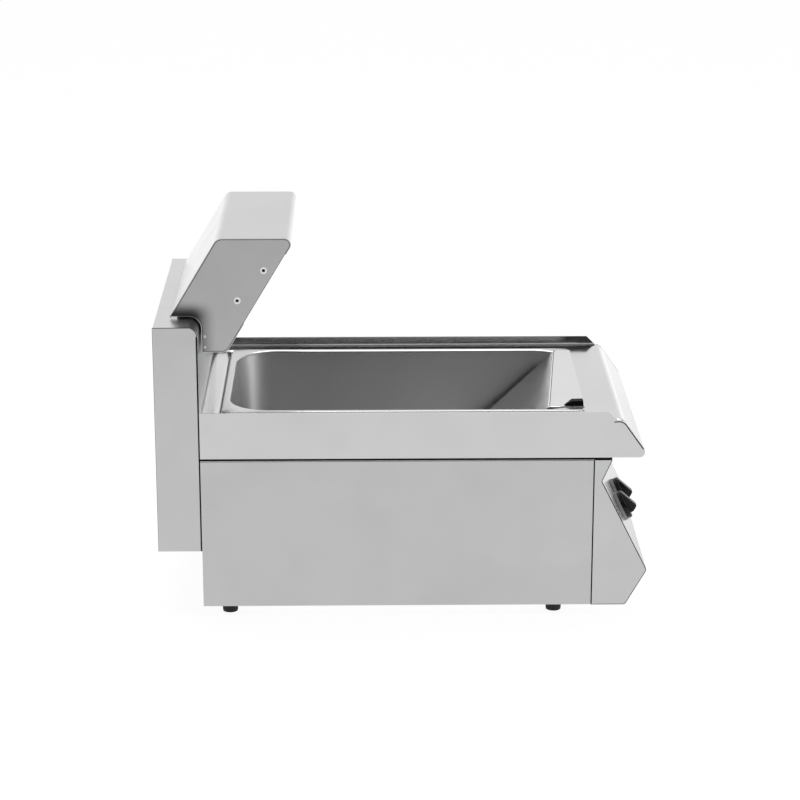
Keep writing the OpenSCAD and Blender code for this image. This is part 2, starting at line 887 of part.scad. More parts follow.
// Children drawn on the hood's front slope, by distance up the mouth and depth behind the slope
module on_mouth(up, depth) {
    translate([0, hood_low.x, hood_low.y])
        rotate([90 + hood_lean, 0, 0])
            translate([0, hood_low_l + up, -depth])
                children();
}
// A hood sheet's fold: a full width edge, with its return kept between the cheeks
module hood_edge(lip, way, side) {
    along_x(cheek_gap - hood_cheek_x, hood_cheek_x - cheek_gap)
        sheet(open_path([lip - way * hood_return * hood_up, lip, lip + hood_return * hood_in], [0, hood_fold_r, 0]),
            side * sheet_t);
}
module hood_shell() {
    lip = hood_front - hood_lip_l * hood_up;
    color(polished) {
        along_x(-hood_half_w, hood_half_w)
            sheet(open_path([hood_heel, hood_rear, hood_front, lip + hood_fold_r * hood_up],
                [0, hood_rear_r, hood_front_r, 0]), sheet_t);
        hood_edge(lip, -1, 1);
    }
}
module hood_lower_panel() {
    lip = hood_low + hood_low_l * hood_up;
    color(polished) {
        along_x(-hood_half_w, hood_half_w)
            sheet(open_path([[y_seat, z_neck], hood_low, lip - hood_fold_r * hood_up], [0, hood_low_r, 0]), -sheet_t);
        hood_edge(lip, 1, -1);
    }
}
rivet_d = 3.2;
rivet_head_d = 5;
rivet_head_h = 1;
rivet_inset = 5;
rivet_rows = [8, 24];
rivet_tab = 12;
module rivet_holes() {
    both_sides()
        for (z = rivet_rows)
            translate([-hood_half_w - overrun, y_seat - rivet_inset, z_neck + z])
                rotate([0, 90, 0])
                    cylinder(h = 2 * sheet_t + 2 * overrun, d = rivet_d);
}
module hood_back_panel() {
    path = open_path([[y_seat, z_neck + sheet_t], [y_seat, z_seat], [hood_heel.x - heel_gap, z_seat]],
        [0, riser_r + seat_gap, 0]);
    tab_low = z_neck + hood_fold_r;
    color(steel)
        difference() {
            union() {
                along_x(-hood_cheek_x, hood_cheek_x)
                    sheet(path, sheet_t);
                both_sides()
                    box_at([-hood_cheek_x, y_seat - rivet_tab, tab_low],
                        [sheet_t - hood_cheek_x, y_seat, tab_low + neck_drop - 2 * rivet_tab]);
            }
            y_hole(cable_x, y_seat - sheet_t - overrun, hood_cable_z, sheet_t + 2 * overrun, grommet_hole_d);
            hood_bolt_cuts();
            rivet_holes();
        }
}
module neck_rivets() {
    color(dark_steel)
        both_sides()
            for (z = rivet_rows)
                translate([-hood_half_w, y_seat - rivet_inset, z_neck + z])
                    rotate([0, 90, 0]) {
                        cylinder(h = 2 * sheet_t + rivet_head_h, d = rivet_d);
                        translate([0, 0, -rivet_head_h])
                            cylinder(h = rivet_head_h, d1 = rivet_head_d - rivet_head_h, d2 = rivet_head_d);
                    }
}
hood_screw_shares = [0.22, 0.7];
hood_screw_depths = [26, 16];
hood_screw_d = 4;
hood_head_d = 9;
hood_head_h = 2.4;
hood_socket_d = 4.5;
hood_socket_h = 1.6;
hood_screw_l = 7;
module at_hood_screws() {
    both_sides()
        for (i = [0:len(hood_screw_shares) - 1])
            on_mouth(hood_screw_shares[i] * mouth_l, hood_screw_depths[i])
                translate([-hood_half_w, 0, 0])
                    rotate([0, 90, 0])
                        children();
}
module hood_screw_holes() {
    at_hood_screws()
        translate([0, 0, -overrun])
            cylinder(h = 2 * sheet_t + 2 * overrun, d = hood_screw_d);
}
module hood_screws() {
    color(dark_steel)
        at_hood_screws()
            difference() {
                union() {
                    cylinder(h = hood_screw_l, d = hood_screw_d);
                    translate([0, 0, -hood_head_h])
                        cylinder(h = hood_head_h, d1 = hood_head_d - hood_head_h, d2 = hood_head_d);
                }
                translate([0, 0, -hood_head_h - overrun])
                    cylinder(h = hood_socket_h + overrun, d = hood_socket_d, $fn = 6);
            }
}
module hood_cheek() {
    color(steel)
        difference() {
            along_x(-hood_half_w, -hood_cheek_x)
                offset(delta = -sheet_t)
                    polygon(closed_path(
                        [[y_seat, z_neck], hood_low, hood_front, hood_rear, hood_heel, [y_seat, z_seat]],
                        [0, hood_low_r, hood_front_r, hood_rear_r, 0, riser_r + seat_gap]));
            hood_screw_holes();
            rivet_holes();
        }
}
module hood_left_cheek() {
    hood_cheek();
}
module hood_right_cheek() {
    mirror([1, 0, 0])
        hood_cheek();
}

// Reflector trough in the mouth, with the lamps, their sockets and the wire guard
reflector_t = 0.8;
reflector_from = 3;
reflector_edge = 14;
reflector_depth = 46;
reflector_run = 16;
reflector_r = 5;
lamp_depth = 26;
lamp_places_share = [0.3, 0.7];
socket_w = 22;
socket_l = 19;
socket_from = 14;
socket_pocket = 8;
socket_play = 0.2;
module reflector() {
    corners = [
        [0, -reflector_from], [0, -reflector_edge], [reflector_run, -reflector_depth],
        [mouth_l - reflector_run, -reflector_depth], [mouth_l, -reflector_edge], [mouth_l, -reflector_from]
    ];
    path = open_path(corners, [0, reflector_r, reflector_r, reflector_r, reflector_r, 0]);
    color(polished)
        difference() {
            on_mouth(0, 0) {
                along_x(-hood_cheek_x, hood_cheek_x)
                    sheet(path, reflector_t);
                both_sides()
                    along_x(-hood_cheek_x, sheet_t - hood_cheek_x)
                        polygon(path);
            }
            hood_screw_holes();
        }
}
module heat_lamps() {
    color(quartz_red)
        for (s = lamp_places_share)
            on_mouth(s * mouth_l, lamp_depth)
                translate([-lamp_l / 2, 0, 0])
                    rotate([0, 90, 0])
                        cylinder(h = lamp_l, d = lamp_d);
}
module lamp_sockets() {
    face = lamp_l / 2 - socket_pocket;
    color(ceramic_white)
        both_sides()
            for (s = lamp_places_share)
                on_mouth(s * mouth_l, 0)
                    difference() {
                        box_at([-face - socket_l, -socket_w / 2, reflector_t - reflector_depth],
                            [-face, socket_w / 2, -socket_from]);
                        translate([-face - socket_pocket, 0, -lamp_depth])
                            rotate([0, 90, 0])
                                cylinder(h = socket_pocket + overrun, d = lamp_d + 2 * socket_play);
                    }
}
wire_pitch = 20;
wire_end_room = 11;
wire_rows = 2 * floor((hood_half_w - wire_end_room) / wire_pitch);
rail_w = 6;
rail_t = 1;
rail_gap = 0.05;
rail_places_share = [0.14, 0.86];
module guard_grille() {
    depth = reflector_from + wire_d;
    rail_half_l = hood_cheek_x - sheet_t;
    rail_top = -depth - wire_d / 2 - rail_gap;
    span = mouth_l - 2 * reflector_t;
    color(dark_steel) {
        for (i = [0:wire_rows])
            on_mouth(reflector_t, depth)
                translate([wire_pitch * (i - wire_rows / 2), span, 0])
                    rotate([90, 0, 0])
                        cylinder(h = span, d = wire_d);
        for (s = rail_places_share)
            on_mouth(s * mouth_l, 0)
                box_at([-rail_half_l, -rail_w / 2, rail_top - rail_t], [rail_half_l, rail_w / 2, rail_top]);
    }
}

// Mains gland, terminal block, grommets and the two cables that stay inside
gland_thread_l = 9;
gland_hex_d = 25;
gland_hex_h = 5;
gland_body_d = 20;
gland_dome_d = 14;
gland_body_h = 16;
gland_bore_d = 9;
gland_nut_h = 4;
module cable_gland() {
    color(black)
        translate([gland_x, y_back, gland_z])
            rotate([-90, 0, 0])
                difference() {
                    union() {
                        translate([0, 0, -gland_thread_l])
                            cylinder(h = gland_thread_l, d = gland_thread_d);
                        translate([0, 0, -sheet_t - gland_nut_h])
                            cylinder(h = gland_nut_h, d = gland_hex_d, $fn = 6);
                        cylinder(h = gland_hex_h, d = gland_hex_d, $fn = 6);
                        translate([0, 0, gland_hex_h])
                            cylinder(h = gland_body_h, d1 = gland_body_d, d2 = gland_dome_d);
                    }
                    translate([0, 0, -gland_thread_l - overrun])
                        cylinder(h = gland_thread_l + gland_hex_h + gland_body_h + 2 * overrun, d = gland_bore_d);
                }
}
block_l = 60;
block_w = 18;
block_h = 20;
block_pit_d = 5;
block_pit_h = 6;
block_ways = 5;
cable_back_gap = 14;
y_cable = y_back - sheet_t - cable_back_gap;
module terminal_block() {
    color(ceramic_white)
        translate([cable_x, y_cable, z_base_top])
            difference() {
                translate([-block_l / 2, -block_w / 2, 0])
                    cube([block_l, block_w, block_h]);
                for (i = [0:block_ways - 1])
                    if (i != (block_ways - 1) / 2)
                        translate([block_l / block_ways * (i - (block_ways - 1) / 2), 0, block_h - block_pit_h])
                            cylinder(h = block_pit_h + overrun, d = block_pit_d);
            }
}
grommet_d = 19;
grommet_lip = 2;
module grommet(z, y0, y1) {
    h = y1 - y0;
    translate([cable_x, y0, z])
        rotate([-90, 0, 0])
            rotate_extrude()
                polygon([
                    [cable_d / 2, -grommet_lip], [grommet_d / 2, -grommet_lip], [grommet_d / 2, 0],
                    [grommet_hole_d / 2, 0], [grommet_hole_d / 2, h], [grommet_d / 2, h],
                    [grommet_d / 2, h + grommet_lip], [cable_d / 2, h + grommet_lip]
                ]);
}
module cable_grommets() {
    color(black) {
        grommet(hood_cable_z, y_seat - sheet_t, y_back + sheet_t);
        grommet(body_cable_z, y_back - sheet_t, y_back + sheet_t);
    }
}
// A round cable through square-set points, with a bend of radius r at each inner point
module cable(points, r, d) {
    last = len(points) - 1;
    for (i = [1:last]) {
        way = unit(points[i] - points[i - 1]);
        from = points[i - 1] + (i == 1 ? 0 : r) * way;
        to = points[i] - (i == last ? 0 : r) * way;
        translate(from)
            rotate([0, acos(way.z), atan2(way.y, way.x)])
                cylinder(h = norm(to - from), d = d);
    }
    for (i = [1:last - 1]) {
        back = unit(points[i - 1] - points[i]);
        on = unit(points[i + 1] - points[i]);
        c = points[i] + (back + on) * r;
        n = cross(on, back);
        multmatrix([[-on.x, -back.x, n.x, c.x], [-on.y, -back.y, n.y, c.y], [-on.z, -back.z, n.z, c.z]])
            rotate_extrude(angle = 90)
                translate([r, 0])
                    circle(d = d);
    }
}
cable_bend_r = 14;
hood_cable_start = 24;
module hood_cable() {
    y_riser_mid = y_back + riser_d / 2;
    color(black)
        cable([
            [cable_x, y_seat - hood_cable_start, hood_cable_z], [cable_x, y_riser_mid, hood_cable_z],
            [cable_x, y_riser_mid, body_cable_z], [cable_x, y_cable, body_cable_z],
            [cable_x, y_cable, z_base_top + block_h]
        ], cable_bend_r, cable_d);
}
control_cable_d = 6;
control_cable_wall = 19;
control_cable_reach = 23;
z_control_cable = z_base_top + block_h / 2;
control_hole_d = 10;
control_cable_top_share = 0.37;
module control_cable() {
    x_run = half_w - control_cable_wall;
    y_run = y_seam - control_cable_reach;
    color(black)
        cable([
            [cable_x + block_l / 2, y_cable, z_control_cable], [x_run, y_cable, z_control_cable],
            [x_run, y_run, z_control_cable], [switch_x, y_run, z_control_cable],
            [switch_x, y_run, z_side + panel_h * control_cable_top_share]
        ], cable_bend_r, control_cable_d);
}

// Lift-out pan: flange with a turned down edge, rounded box below it
pan_corner_out_r = 14;
module pan_slab(inset, z, h) {
    translate([0, 0, z])
        linear_extrude(h)
            polygon(round_box(pan_open_l - 2 * inset, pan_open_w - 2 * inset, pan_corner_r - inset / 2));
}
slab_h = 0.1;
module pan_body(grow, low, high) {
    lift = pan_floor_r * (1 - cos(45));
    step_in = pan_floor_r * (1 - sin(45));
    hull() {
        pan_slab(-grow, high - slab_h, slab_h);
        pan_slab(pan_draw_in - grow, low + pan_floor_r, slab_h);
        pan_slab(pan_draw_in + step_in - grow, low + lift, slab_h);
        pan_slab(pan_draw_in + pan_floor_r - grow, low, slab_h);
    }
}
module gastro_pan() {
    z_flange = z_deck + pan_edge_h - pan_t;
    color(polished)
        translate([0, pan_y, 0])
            difference() {
                union() {
                    translate([0, 0, z_deck])
                        linear_extrude(pan_edge_h)
                            polygon(round_box(pan_l, pan_w, pan_corner_out_r));
                    pan_body(pan_t, z_pan_floor, z_flange);
                }
                difference() {
                    translate([0, 0, z_deck - overrun])
                        linear_extrude(pan_edge_h - pan_t + overrun)
                            polygon(round_box(pan_l - 2 * pan_t, pan_w - 2 * pan_t, pan_corner_out_r - pan_t));
                    pan_slab(-pan_t, z_deck - 2 * overrun, pan_edge_h + 2 * overrun);
                }
                pan_body(0, z_pan_floor + pan_t, z_deck + pan_edge_h + overrun);
            }
}

// Chip tray: one bent sheet with a lip on the pan's flange, a ramp, and a perforated floor on legs
tray_t = 1;
tray_fold_r = 4;
tray_foot_r = 10;
tray_far_inset = 8.5;
tray_rear_gap = 20;
tray_rear_cut = 40;
leg_x_share = 0.8;
leg_t = 1.2;
leg_end_gap = 12;
tray_seat_gap = 0.05;
z_lip = z_deck + pan_edge_h + tray_seat_gap;
y_lip = pan_y - pan_l / 2;
y_fold = y_lip + lip_l;
tray_w = pan_open_w - 2 * tray_side_gap;
skew_angle = atan2(fold_skew, tray_w);
z_floor = z_pan_floor + pan_t + floor_lift;
ramp_run = (z_lip - z_floor) / tan(ramp_angle);
y_foot = y_fold + ramp_run;
y_tray_rear = pan_y + pan_open_l / 2 - tray_rear_gap;
tray_half = tray_w / 2;
foot_half = tray_half - ramp_taper / 2;
hole_columns = 8;
hole_rows = floor((y_tray_rear - y_foot - 2 * drain_pitch) / drain_pitch);
leg_x = leg_x_share * foot_half;
module chip_tray() {
    y_left = y_fold + fold_skew / 2;
    y_right = y_fold - fold_skew / 2;
    path = open_path(
        [[-lip_l - fold_skew, z_lip], [0, z_lip], [ramp_run, z_floor], [pan_l, z_floor]],
        [0, tray_fold_r, tray_foot_r, 0]);
    outline = [
        [-tray_half, y_lip], [tray_half, y_lip], [tray_half, y_right - tray_fold_r],
        [tray_half - tray_far_inset, y_right - tray_fold_r], [foot_half - tray_far_inset, y_foot - fold_skew / 2],
        [foot_half - tray_far_inset, y_tray_rear - tray_rear_cut],
        [foot_half - tray_far_inset - tray_rear_cut, y_tray_rear],
        [tray_rear_cut - foot_half, y_tray_rear], [-foot_half, y_tray_rear - tray_rear_cut],
        [-foot_half, y_foot + fold_skew / 2], [-tray_half, y_left + tray_fold_r]
    ];
    color(polished)
        difference() {
            union() {
                intersection() {
                    translate([0, y_fold, 0])
                        rotate([0, 0, -skew_angle])
                            along_x(-tray_w, tray_w)
                                sheet(path, tray_t);
                    translate([0, 0, z_pan_floor])
                        linear_extrude(pan_depth + overrun + tray_t)
                            polygon(outline);
                }
                for (x = [-leg_x, leg_x - leg_t])
                    box_at([x, y_foot + fold_skew / 2 + leg_end_gap, z_pan_floor + pan_t + tray_seat_gap],
                        [x + leg_t, y_tray_rear - tray_rear_cut, z_floor]);
            }
            for (i = [0:hole_columns - 1], j = [0:hole_rows - 1])
                translate([
                    drain_pitch * (i - (hole_columns - 1) / 2), y_tray_rear - drain_pitch * (j + 1), z_floor - overrun
                ])
                    cylinder(h = tray_t + 2 * overrun, d = drain_hole_d, $fn = 20);
        }
}
grip_chamfer = 7;
grip_side = 5;
grip_x = grip_side + grip_w / 2 - tray_half;
grip_y = 3.5;
module tray_grip() {
    front = y_lip + grip_y;
    rear = front + grip_l;
    low = z_lip + tray_t;
    color(black)
        along_x(grip_x - grip_w / 2, grip_x + grip_w / 2)
            polygon([
                [front, low], [front + overrun, low + grip_h + overrun], [rear - grip_chamfer, low + grip_h + overrun],
                [rear, low + overrun], [rear - grip_chamfer / 2, low]
            ]);
}

left_side_panel();
right_side_panel();
base_plate();
back_panel();
control_bulkhead();
worktop();
deck_rails();
well_box();
base_heater();
heater_supports();
insulation_slab();
heat_shield();
front_panel();
left_end_cap();
right_end_cap();
knob_bezels();
thermostat();
rotary_switch();
thermostat_shaft();
thermostat_knob();
switch_shaft();
switch_knob();
panel_screws();
feet();
foot_screws();
riser_cover();
riser_left_end();
riser_right_end();
riser_back_panel();
riser_screws();
riser_bolts();
hood_shell();
hood_left_cheek();
hood_right_cheek();
hood_lower_panel();
hood_back_panel();
hood_spacers();
hood_bolts();
hood_screws();
neck_rivets();
reflector();
heat_lamps();
lamp_sockets();
guard_grille();
cable_gland();
terminal_block();
cable_grommets();
hood_cable();
control_cable();
gastro_pan();
chip_tray();
tray_grip();
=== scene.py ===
import math
from types import SimpleNamespace

import bpy
import numpy as np
from mathutils import Matrix, Vector


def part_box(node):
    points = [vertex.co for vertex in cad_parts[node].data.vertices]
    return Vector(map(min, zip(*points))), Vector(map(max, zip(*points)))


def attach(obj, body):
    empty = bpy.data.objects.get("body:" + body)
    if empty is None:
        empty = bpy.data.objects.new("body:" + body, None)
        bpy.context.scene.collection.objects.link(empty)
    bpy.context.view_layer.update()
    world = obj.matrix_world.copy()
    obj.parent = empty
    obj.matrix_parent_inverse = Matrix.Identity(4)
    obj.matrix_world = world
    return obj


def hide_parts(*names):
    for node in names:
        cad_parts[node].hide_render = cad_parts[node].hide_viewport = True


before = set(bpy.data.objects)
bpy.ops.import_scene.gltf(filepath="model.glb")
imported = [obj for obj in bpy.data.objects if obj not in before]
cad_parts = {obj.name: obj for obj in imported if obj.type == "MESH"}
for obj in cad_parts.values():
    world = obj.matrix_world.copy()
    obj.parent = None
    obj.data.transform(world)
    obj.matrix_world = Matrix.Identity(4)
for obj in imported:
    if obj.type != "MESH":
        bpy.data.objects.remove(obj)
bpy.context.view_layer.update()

# Camera
# The photograph is taken from the object's left side, from about 3.9 m away and 17 degrees above the level
# of the worktop, with a long lens and no shift. The camera's place and all sizes of the object are in
# millimetres, and the studio's are in metres.
mm = 0.001
look_down = math.radians(17.438)
look_aside = math.radians(-0.802)
eye = (-3664.2, 52.8, 1421.0)
focal_pixels = 2527.6
picture_pixels = 800.0
sensor_width = 36.0
ahead = Vector((
    math.cos(look_down) * math.cos(look_aside),
    math.cos(look_down) * math.sin(look_aside),
    -math.sin(look_down)))
right = Vector((math.sin(look_aside), -math.cos(look_aside), 0.0))
up = right.cross(ahead)
camera = bpy.data.objects.new("camera", bpy.data.cameras.new("camera"))
bpy.context.scene.collection.objects.link(camera)
camera.matrix_world = Matrix(
    [(right[i], up[i], -ahead[i], eye[i] * mm) for i in range(3)] + [(0.0, 0.0, 0.0, 1.0)])
camera.data.sensor_width = sensor_width
camera.data.lens = sensor_width * focal_pixels / picture_pixels
camera.data.clip_end = 60.0
bpy.context.scene.camera = camera
bpy.context.scene.view_settings.view_transform = "Standard"

# Studio
# A pale floor and an open white backdrop behind the object, with the room behind the camera left dark, as
# when steel is photographed: bright sheets show the backdrop, and upright sheets show the floor.


def add_nodes(tree, **kinds):
    """Adds a shader node of each kind, and gives them back under the words that they were asked for by."""
    return SimpleNamespace(**{word: tree.nodes.new(kind) for word, kind in kinds.items()})


def wire_up(tree, *pairs):
    """Each pair (from socket, to socket) becomes one link."""
    for source, target in pairs:
        tree.links.new(source, target)


def set_ramp(ramp, source=(0.0, 1.0), target=(0.0, 1.0), soft=False):
    """A value between the two source numbers is carried to its like place between the two target numbers,
    in proportion or, where soft, with an easy start and end."""
    for word, number in zip(("From Min", "From Max", "To Min", "To Max"), source + target):
        ramp.inputs[word].default_value = number
    if soft:
        ramp.interpolation_type = "SMOOTHSTEP"


world = bpy.data.worlds.new("studio")
bpy.context.scene.world = world
world.use_nodes = True
world.node_tree.nodes.clear()
sky = add_nodes(
    world.node_tree, where="ShaderNodeTexCoord", parts="ShaderNodeSeparateXYZ", path="ShaderNodeLightPath",
    height="ShaderNodeMapRange", across="ShaderNodeMapRange", overhead="ShaderNodeMapRange",
    seen="ShaderNodeBackground", mirrored="ShaderNodeBackground", pick="ShaderNodeMixShader",
    out="ShaderNodeOutputWorld")
# The backdrop dims a little with height, the side behind the camera is dark, and overhead is grey. What the
# camera itself sees is plain white.
set_ramp(sky.height, (0.02, 0.3), (1.0, 0.71), soft=True)
set_ramp(sky.across, (-0.25, 0.6), (0.05, 1.0), soft=True)
set_ramp(sky.overhead, (0.6, 0.95), (0.0, 0.62), soft=True)
for backdrop in (sky.seen, sky.mirrored):
    backdrop.inputs["Color"].default_value = (1.0, 1.0, 1.0, 1.0)
wire_up(
    world.node_tree,
    (sky.where.outputs["Generated"], sky.parts.inputs[0]),
    (sky.parts.outputs["Z"], sky.height.inputs["Value"]),
    (sky.parts.outputs["X"], sky.across.inputs["Value"]),
    (sky.parts.outputs["Z"], sky.overhead.inputs["Value"]),
    (sky.height.outputs["Result"], sky.across.inputs["To Max"]),
    (sky.across.outputs["Result"], sky.overhead.inputs["To Min"]),
    (sky.overhead.outputs["Result"], sky.mirrored.inputs["Strength"]),
    (sky.path.outputs["Is Camera Ray"], sky.pick.inputs["Fac"]),
    (sky.mirrored.outputs[0], sky.pick.inputs[1]),
    (sky.seen.outputs[0], sky.pick.inputs[2]),
    (sky.pick.outputs[0], sky.out.inputs["Surface"]))

# The floor is part matt and part glow, so that it stays pale. In what steel mirrors, it is grey on the near
# side and grows whiter with distance behind the object.
floor_reach = 9.0
floor_mesh = bpy.data.meshes.new("floor")
floor_mesh.from_pydata(
    [(x * floor_reach, y * floor_reach, 0.0) for x, y in ((-1, -1), (1, -1), (1, 1), (-1, 1))],
    [], [(0, 1, 2, 3)])
floor = bpy.data.objects.new("floor", floor_mesh)
bpy.context.scene.collection.objects.link(floor)
floor_paint = bpy.data.materials.new("studio_floor")
floor_paint.use_nodes = True
floor_paint.node_tree.nodes.clear()
ground = add_nodes(
    floor_paint.node_tree, where="ShaderNodeTexCoord", parts="ShaderNodeSeparateXYZ",
    path="ShaderNodeLightPath", away="ShaderNodeMapRange", mirrored="ShaderNodeMix", tone="ShaderNodeMix",
    share="ShaderNodeMapRange", matt="ShaderNodeBsdfDiffuse", glow="ShaderNodeEmission",
    total="ShaderNodeMixShader", out="ShaderNodeOutputMaterial")
set_ramp(ground.away, source=(-0.4, 2.9))
set_ramp(ground.share, target=(0.78, 0.82))
for mix in (ground.mirrored, ground.tone):
    mix.data_type = "RGBA"
ground.mirrored.inputs["A"].default_value = (0.66, 0.66, 0.665, 1.0)
ground.mirrored.inputs["B"].default_value = (1.3, 1.3, 1.3, 1.0)
ground.tone.inputs["B"].default_value = (1.13, 1.13, 1.13, 1.0)
ground.matt.inputs["Color"].default_value = (0.8, 0.8, 0.8, 1.0)
wire_up(
    floor_paint.node_tree,
    (ground.where.outputs["Object"], ground.parts.inputs[0]),
    (ground.parts.outputs["X"], ground.away.inputs["Value"]),
    (ground.away.outputs["Result"], ground.mirrored.inputs["Factor"]),
    (ground.mirrored.outputs["Result"], ground.tone.inputs["A"]),
    (ground.path.outputs["Is Camera Ray"], ground.tone.inputs["Factor"]),
    (ground.tone.outputs["Result"], ground.glow.inputs["Color"]),
    (ground.path.outputs["Is Camera Ray"], ground.share.inputs["Value"]),
    (ground.share.outputs["Result"], ground.total.inputs["Fac"]),
    (ground.matt.outputs[0], ground.total.inputs[1]),
    (ground.glow.outputs[0], ground.total.inputs[2]),
    (ground.total.outputs[0], ground.out.inputs["Surface"]))
floor_mesh.materials.append(floor_paint)

# Two softboxes: name, place, the point aimed at, width in metres and power in watts.
for name, place, aim, width, power in (
    ("softbox_over", (0.4, 0.2, 2.6), (0.0, 0.0, 0.0), 2.4, 24.0),
    ("softbox_front", (-0.8, -2.2, 1.5), (0.0, 0.0, 0.2), 1.2, 6.0),
):
    lamp = bpy.data.objects.new(name, bpy.data.lights.new(name, "AREA"))
    lamp.data.size = width
    lamp.data.energy = power
    lamp.location = place
    lamp.rotation_euler = (Vector(aim) - Vector(place)).to_track_quat("-Z", "Y").to_euler()
    bpy.context.scene.collection.objects.link(lamp)

# Casing
# Side panels, back, base and bulkhead are folded from 1.2 mm stainless sheet with a fine brushed grain that
# runs along each sheet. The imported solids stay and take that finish.


def new_material(name):
    """A material with nodes, together with its tree and its main shader."""
    material = bpy.data.materials.new(name)
    material.use_nodes = True
    return material, material.node_tree, material.node_tree.nodes["Principled BSDF"]


def toned(colour, factor):
    """The colour times a factor, held to white, as a socket takes it."""
    return tuple(min(1.0, part * factor) for part in colour) + (1.0,)


def brushed(name, tint, rough, grain, scratch=0.04, depth=0.006, blotch=0.02):
    """Steel sheet. Noise drawn out ninety times along the grain gives the brush lines, which move the
    roughness by up to scratch and give a very shallow bump. A slow noise moves the tint by blotch, and a
    finer one makes the places rougher that wiping has rubbed."""
    material, tree, shader = new_material(name)
    shader.inputs["Metallic"].default_value = 1.0
    nodes = add_nodes(
        tree, where="ShaderNodeTexCoord", turn="ShaderNodeMapping", lines="ShaderNodeTexNoise",
        cloud="ShaderNodeTexNoise", rubs="ShaderNodeTexNoise", line_ramp="ShaderNodeMapRange",
        rub_ramp="ShaderNodeMapRange", cloud_ramp="ShaderNodeMapRange", total="ShaderNodeMath",
        tone="ShaderNodeMix", bump="ShaderNodeBump")
    along_grain, over_grain = 10.0, 900.0
    scales = [along_grain if axis == grain else over_grain for axis in "xyz"]
    nodes.turn.inputs["Scale"].default_value = scales
    for noise, scale, detail in ((nodes.lines, 1.0, 3.0), (nodes.cloud, 7.0, 2.0), (nodes.rubs, 23.0, 4.0)):
        noise.inputs["Scale"].default_value = scale
        noise.inputs["Detail"].default_value = detail
    set_ramp(nodes.line_ramp, target=(-scratch, scratch))
    set_ramp(nodes.rub_ramp, (0.4, 0.7), (rough - 0.01, rough + 0.03))
    set_ramp(nodes.cloud_ramp, source=(0.35, 0.65))
    nodes.tone.data_type = "RGBA"
    nodes.tone.inputs["A"].default_value = toned(tint, 1.0 - blotch)
    nodes.tone.inputs["B"].default_value = toned(tint, 1.0 + blotch)
    nodes.bump.inputs["Strength"].default_value = depth
    nodes.bump.inputs["Distance"].default_value = 0.2 * mm
    wire_up(
        tree,
        (nodes.where.outputs["Object"], nodes.turn.inputs["Vector"]),
        (nodes.where.outputs["Object"], nodes.cloud.inputs["Vector"]),
        (nodes.where.outputs["Object"], nodes.rubs.inputs["Vector"]),
        (nodes.turn.outputs["Vector"], nodes.lines.inputs["Vector"]),
        (nodes.lines.outputs["Fac"], nodes.line_ramp.inputs["Value"]),
        (nodes.rubs.outputs["Fac"], nodes.rub_ramp.inputs["Value"]),
        (nodes.line_ramp.outputs["Result"], nodes.total.inputs[0]),
        (nodes.rub_ramp.outputs["Result"], nodes.total.inputs[1]),
        (nodes.total.outputs[0], shader.inputs["Roughness"]),
        (nodes.lines.outputs["Fac"], nodes.bump.inputs["Height"]),
        (nodes.bump.outputs["Normal"], shader.inputs["Normal"]),
        (nodes.cloud.outputs["Fac"], nodes.cloud_ramp.inputs["Value"]),
        (nodes.cloud_ramp.outputs["Result"], nodes.tone.inputs["Factor"]),
        (nodes.tone.outputs["Result"], shader.inputs["Base Color"]))
    return material


def dress(material, *names):
    """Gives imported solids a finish."""
    for name in names:
        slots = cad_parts[name].data.materials
        slots.clear()
        slots.append(material)


casing = brushed("casing_brushed", (0.85, 0.85, 0.855), 0.32, "y")
casing_across = brushed("casing_brushed_across", (0.76, 0.76, 0.765), 0.34, "x")
dress(casing, "left_side_panel", "right_side_panel")
dress(casing_across, "back_panel", "base_plate", "control_bulkhead")

# Worktop
# One bright stainless sheet bent into the deck and the rolled nose, and cut out for the pan. A side plate
# with a hemmed rim stands at each end, and the deck turns up into it through a small radius.


def node_box(name):
    """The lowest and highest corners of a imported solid, in millimetres."""
    return [np.round(np.array(corner, float) / mm, 3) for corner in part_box(name)]


def circle(angles):
    """Points on the circle of radius 1, at these angles."""
    return np.stack([np.cos(angles), np.sin(angles)], -1)


def rounded(corners, radii, steps=16, closed=False):
    """A line through corner points, where a corner with a radius is swapped for the arc that touches both its
    runs. The arc's centre is on the bisector, r / sin(half the corner's angle) from the corner, and it
    sweeps between the two touching points, which are r / tan(half the angle) along the runs."""
    corners = np.asarray(corners, float)
    count = len(corners)
    line = []
    for i, (corner, r) in enumerate(zip(corners, radii)):
        if r == 0 or (not closed and i in (0, count - 1)):
            line.append(corner[None])
            continue
        back, on = corners[i - 1] - corner, corners[(i + 1) % count] - corner
        back, on = back / np.linalg.norm(back), on / np.linalg.norm(on)
        half = math.acos(float(np.clip(back @ on, -1, 1))) / 2
        centre = corner + (back + on) / np.linalg.norm(back + on) * r / math.sin(half)
        start = corner + back * r / math.tan(half) - centre
        end = corner + on * r / math.tan(half) - centre
        first = math.atan2(start[1], start[0])
        sweep = (math.atan2(end[1], end[0]) - first + 3 * math.pi) % (2 * math.pi) - math.pi
        line.append(centre + r * circle(first + sweep * np.linspace(0, 1, steps + 1)))
    return np.concatenate(line)


def beside(line, distance, closed=False):
    """The line moved sideways, to its left for a positive distance, keeping its runs parallel: each point
    moves along the sum of its two runs' normals, divided by one plus their product."""
    run = np.roll(line, -1, axis=0) - line if closed else np.diff(line, axis=0)
    side = np.stack([-run[:, 1], run[:, 0]], -1) / np.linalg.norm(run, axis=1)[:, None]
    if closed:
        before, after = np.roll(side, 1, axis=0), side
    else:
        before, after = np.concatenate([side[:1], side]), np.concatenate([side, side[-1:]])
    return line + (before + after) * distance / (1 + (before * after).sum(1))[:, None]


